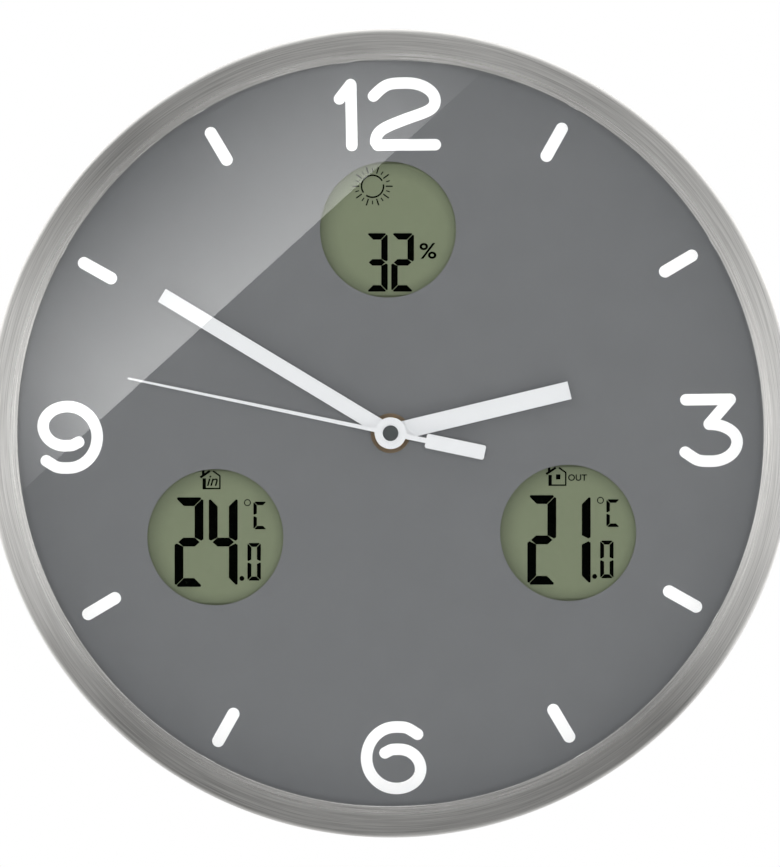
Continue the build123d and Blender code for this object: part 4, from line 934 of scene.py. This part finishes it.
def degrees_celsius(x, y):
    """The ring of the degree sign and the segment letter after it."""
    return [flat_ring(x, y, 1.28, 0.34)] + digit("C", x + 4.75, y - 4.78, 5.05, 10.3, 1.3)


# %% [markdown]
# Each display's marks are made at Y = 0 round its middle, joined to one piece, and moved to the
# panel. In the photograph the clock hangs 0.7 degrees askew and the displays stand straight,
# so the marks are turned back by as much.

# %% Show humidity and the two temperatures
picture_turn = 0.7
big_digit = (10.76, 33.4, 3.28)
small_digit = (5.0, 14.0, 1.45)
humidity_height, humidity_stroke = 21.8, 2.42
dot_radius = 0.93


def shown_on(room, pieces, name):
    """Puts flat pieces made at Y = 0 on a display's panel, as one, turned as the panel is."""
    screen = joined(pieces)
    apply_place()
    screen.rotation_euler = (0, radians(picture_turn), 0)
    screen.location = (windows[room].x, panel_front, windows[room].z)
    finished(screen, name, "case", segment_black)


shown_on("humidity", digit("3", -4.14, -12.2, 8.05, humidity_height, humidity_stroke)
         + digit("2", 5.44, -12.2, 8.5, humidity_height, humidity_stroke) + sun(-5.78, 16.2)
         + [word("%", 11.75, 18.05, -10.85, -4.95, bold=0.09)], "humidity_marks")
shown_on("indoor", digit("2", -9.88, -1.86, *big_digit) + digit("4", 2.89, -1.86, *big_digit)
         + digit("0", 14.41, -9.2, *small_digit) + [flat_dot(9.83, -15.4, dot_radius)]
         + degrees_celsius(11.91, 12.84) + house(-4.82, 17.87)
         + [word("in", -3.2, 0.85, 19.1, 22.9, lean=0.28, bold=0.04)], "indoor_marks")
shown_on("outdoor", digit("2", -9.77, -2.65, *big_digit) + digit("1", 3.06, -2.65, *big_digit)
         + digit("0", 14.49, -9.92, *small_digit) + [flat_dot(9.95, -16.26, dot_radius)]
         + degrees_celsius(12.1, 12.12) + house(-7.29, 17.52)
         + [flat_line(-3.66, 19.92, -3.66, 21.8, 1.64),
            word("OUT", 0.06, 7.07, 19.4, 21.8, bold=0.05)], "outdoor_marks")

# %% [markdown]
# ## The floor
#
# A wall clock hangs well above the floor, so the plain pale floor here is 0.9 m below it. A
# floor that is only lit would look grey against the white world. What the camera sees of it is
# therefore mostly its own white, with enough of the lit surface mixed in to keep a shadow. It
# isn't mirrored in the metal, because in the photograph the lower bezel mirrors a dark room.

# %% Floor
floor_drop, floor_size = 0.9, 14
own_light_share = 0.85

bpy.ops.object.select_all(action="DESELECT")
bpy.ops.mesh.primitive_plane_add(size=floor_size, location=(0, 0, cad_low.z - floor_drop))
floor = bpy.context.object
floor.name = "studio_floor"
paint, tree, shader = new_finish("pale_floor_paint", "#F4F4F2", 0.8)
speckled((paint, tree, shader), grain=2.0, depth=0.02, tint=0.01)
rays = add(tree, "LightPath").outputs
seen = add(tree, "Math", {0: rays["Is Camera Ray"], 1: rays["Is Glossy Ray"]}, operation="MAXIMUM")
direct = add(tree, "Math", {0: seen, 1: rays["Is Transmission Ray"]}, operation="MAXIMUM")
share = add(tree, "Math", {0: direct, 1: own_light_share}, operation="MULTIPLY")
own_white = add(tree, "Emission", {"Color": linear("#FFFFFF"), "Strength": 1.0})
mix = add(tree, "MixShader", {0: share, 1: shader, 2: own_white})
fill(tree.nodes["Material Output"], {"Surface": mix})
floor.data.materials.append(paint)
floor.visible_glossy = False
print("the floor is", floor_drop, "m below the clock")

# %% [markdown]
# ## The studio that the metal mirrors
#
# Brushed metal shows its surroundings, and only reflections see these. The walls could be lamps
# or white cards, but a ramp of grey levels round the line of sight is easier to set: one for
# each direction, in degrees clockwise from the top. The walls left and right are lit, those
# above and below are dimmer, and the corners are dark. The bezel shows that as bright fans.

# %% Walls round the line of sight
wall_light = [
    (0, 0.34), (15, 0.35), (28, 0.25), (36, 0.26), (45, 0.36), (60, 0.40), (75, 0.64), (90, 0.85),
    (105, 0.67), (120, 0.38), (128, 0.28), (132, 0.04), (150, 0.09), (165, 0.14), (195, 0.15),
    (210, 0.10), (227, 0.01), (232, 0.20), (240, 0.32), (255, 0.65), (270, 0.75), (285, 0.62),
    (300, 0.28), (308, 0.17), (312, 0.01), (318, 0.03), (330, 0.17), (345, 0.25),
]
world = bpy.data.worlds.new("studio")
bpy.context.scene.world = world
world.use_nodes = True
tree = world.node_tree
tree.nodes.clear()
direction = add(tree, "TexCoord").outputs["Generated"]
split = add(tree, "SeparateXYZ", {"Vector": direction}).outputs
clockwise = add(tree, "Math", {0: split["X"], 1: split["Z"]}, operation="ARCTAN2")
turns = add(tree, "Math", {0: clockwise, 1: 1 / tau}, operation="MULTIPLY")
part_turn = add(tree, "Math", {0: turns}, operation="FRACT")
walls = add(tree, "ValToRGB", {"Fac": part_turn},
            stops=[(angle / 360, light) for angle, light in wall_light])
print("the studio's walls have", len(wall_light), "levels of light")

# %% [markdown]
# Other ramps add what depends on how far a direction points forward or up. Round the camera it
# is a little lighter, and a small dark patch straight ahead keeps the glass clear. The room
# behind the clock gives the bezel's side its light. It is about twice as bright level with the
# clock and above it as near the floor.

# %% In front of and behind the clock
light_near_camera = 0.35
near = add(tree, "MapRange", {"Value": split["Y"], "From Min": -0.96, "From Max": -0.84,
                              "To Min": light_near_camera, "To Max": 0.0})
front_room = add(tree, "VectorMath", {0: walls, 1: near}, operation="ADD")
depth = add(tree, "MapRange", {"Value": split["Y"], "From Min": -1.0})
rear = add(tree, "ValToRGB", {"Fac": depth}, stops=[
    (0.0, 0.52), (0.53, 0.52), (0.62, 1.0), (0.88, 1.0), (0.97, 0.30)])
higher = add(tree, "MapRange", {"Value": split["Z"], "From Min": -0.9, "From Max": 0.1,
                                "To Min": 1.0, "To Max": 2.1})
rear_room = add(tree, "VectorMath", {0: rear, 1: higher}, operation="MULTIPLY")
behind = add(tree, "MapRange", {"Value": split["Y"], "From Min": -0.35, "From Max": -0.05})
# sockets 6 and 7 of a Mix node are its two colours, and output 2 is the mixed one
room = add(tree, "Mix", {"Factor": behind, 6: front_room, 7: rear_room}, data_type="RGBA")
ahead = add(tree, "MapRange", {"Value": split["Y"], "From Min": -0.997, "From Max": -0.993})
studio = add(tree, "Background", {"Color": room.outputs[2], "Strength": ahead})
print("near the camera the studio is lighter by", light_near_camera)

# %% [markdown]
# ## The light that falls on the clock
#
# For all other surfaces the world is an even light, and the camera sees plain white. A white
# wall would do the same, but it would catch shadows and hide the back.

# %% Even light and white background
even_strength = 0.62
rays = add(tree, "LightPath").outputs
even = add(tree, "Background", {"Color": linear("#FFFFFF"), "Strength": even_strength})
white = add(tree, "Background", {"Color": linear("#FFFFFF"), "Strength": 1.0})
seen = add(tree, "Math", {0: rays["Is Camera Ray"], 1: rays["Is Transmission Ray"]},
           operation="MAXIMUM")
lit_or_mirrored = add(tree, "MixShader", {0: rays["Is Glossy Ray"], 1: even, 2: studio})
all_rays = add(tree, "MixShader", {0: seen, 1: lit_or_mirrored, 2: white})
add(tree, "OutputWorld", {"Surface": all_rays})
print("the even light has strength", even_strength)

# %% [markdown]
# A large soft lamp just behind the camera adds the rest, and it brings no shadow that the
# camera could see. With the even light it has the strength at which a colour looks as it is
# written. A second lamp, behind and above, lights the back. Neither is mirrored in the metal.

# %% Lamps
lamp_size = 0.9
for name, place, power in (("front_box", (0, -3.2, spindle.z), 56),
                           ("rear_box", (1.6, 2.2, 1.2), 26)):
    bpy.ops.object.light_add(type="AREA", location=place)
    lamp = bpy.context.object
    lamp.name = name
    lamp.data.shape = "RECTANGLE"
    lamp.data.size = lamp.data.size_y = lamp_size
    lamp.data.energy = power
    lamp.rotation_euler = (spindle - Vector(place)).to_track_quat("-Z", "Y").to_euler()
    lamp.visible_glossy = False
    print(name, "has", power, "watts")

# %% [markdown]
# ## The glare on the glass
#
# In the upper left the glass mirrors a light card that stands behind the camera. Its lower
# right edge is sharp. Glare could be painted on the glass, but then it would show from every
# side. The card's sizes, measured on the glass, are multiplied by how much farther away it is.

# %% Place the light card
camera_away = 3.0
card_away = 3.3
mirrored = 1 + card_away / camera_away
card_width, card_length = 58 * mm * mirrored, 240 * mm * mirrored
edge_middle = Vector((-52 * mm, 0, 55.7 * mm)) * mirrored
slope = radians(41.6)

bpy.ops.object.select_all(action="DESELECT")
bpy.ops.mesh.primitive_plane_add(size=1)
card = bpy.context.object
card.name = "light_card"
card.scale = (card_length, card_width, 1)
apply_place()
from_edge = Vector((-sin(slope), 0, cos(slope)))
card.rotation_euler = (pi / 2, -slope, 0)
card.location = spindle + edge_middle + from_edge * card_width / 2 + Vector((0, -card_away, 0))
card.visible_camera = card.visible_shadow = card.visible_diffuse = False
print("the card is", round(card_length, 2), "m long")

# %% [markdown]
# The light fades away from the sharp edge, and it is brightest in the card's lower left part.
# A picture of that fade could lie on the card, but a ramp for each direction is enough.

# %% Light of the card
edge_strength = 3.3

glow, tree, shader = new_finish("fading_light_card", "#FFFFFF", 1.0)
spot = add(tree, "SeparateXYZ", {"Vector": add(tree, "TexCoord").outputs["Object"]}).outputs
fade = add(tree, "MapRange", {"Value": spot["Y"], "From Min": -card_width / 2,
                              "From Max": card_width / 2, "To Min": edge_strength, "To Max": 0.0})
along = add(tree, "MapRange", {"Value": spot["X"], "From Min": -card_length / 2,
                               "From Max": card_length / 2})
hump = add(tree, "ValToRGB", {"Fac": along}, stops=[
    (0.0, 0.0), (0.08, 0.27), (0.13, 0.53), (0.17, 0.80), (0.25, 1.0), (0.45, 0.94),
    (0.65, 0.80), (0.76, 0.62), (0.85, 0.41), (0.92, 0.15), (1.0, 0.0)])
glowing = add(tree, "Emission", {"Color": hump, "Strength": fade})
fill(tree.nodes["Material Output"], {"Surface": glowing})
tree.nodes.remove(shader)
card.data.materials.append(glow)
print("made", glow.name)

# %% [markdown]
# ## The camera
#
# The photograph is taken straight from the front. The clock fills 810 of its 867 pixels of
# height, so the lens follows from the bezel's size and the distance. The camera is turned by
# the angle at which the clock hangs askew, and moved a trace to frame it alike.

# %% Camera
photo_height, clock_height = 867, 810
sensor = 36
camera_offset = Vector((-0.19 * mm, -camera_away, -0.11 * mm))
bpy.ops.object.camera_add(location=spindle + camera_offset,
                          rotation=(pi / 2, radians(picture_turn), 0))
camera = bpy.context.object
seen_height = 2 * bezel_radius * photo_height / clock_height
camera.data.sensor_width = sensor
camera.data.lens = sensor * (camera_away + bezel_low.y) / seen_height
bpy.context.scene.camera = camera
bpy.context.scene.view_settings.view_transform = "Standard"
print("lens", round(camera.data.lens), "mm")
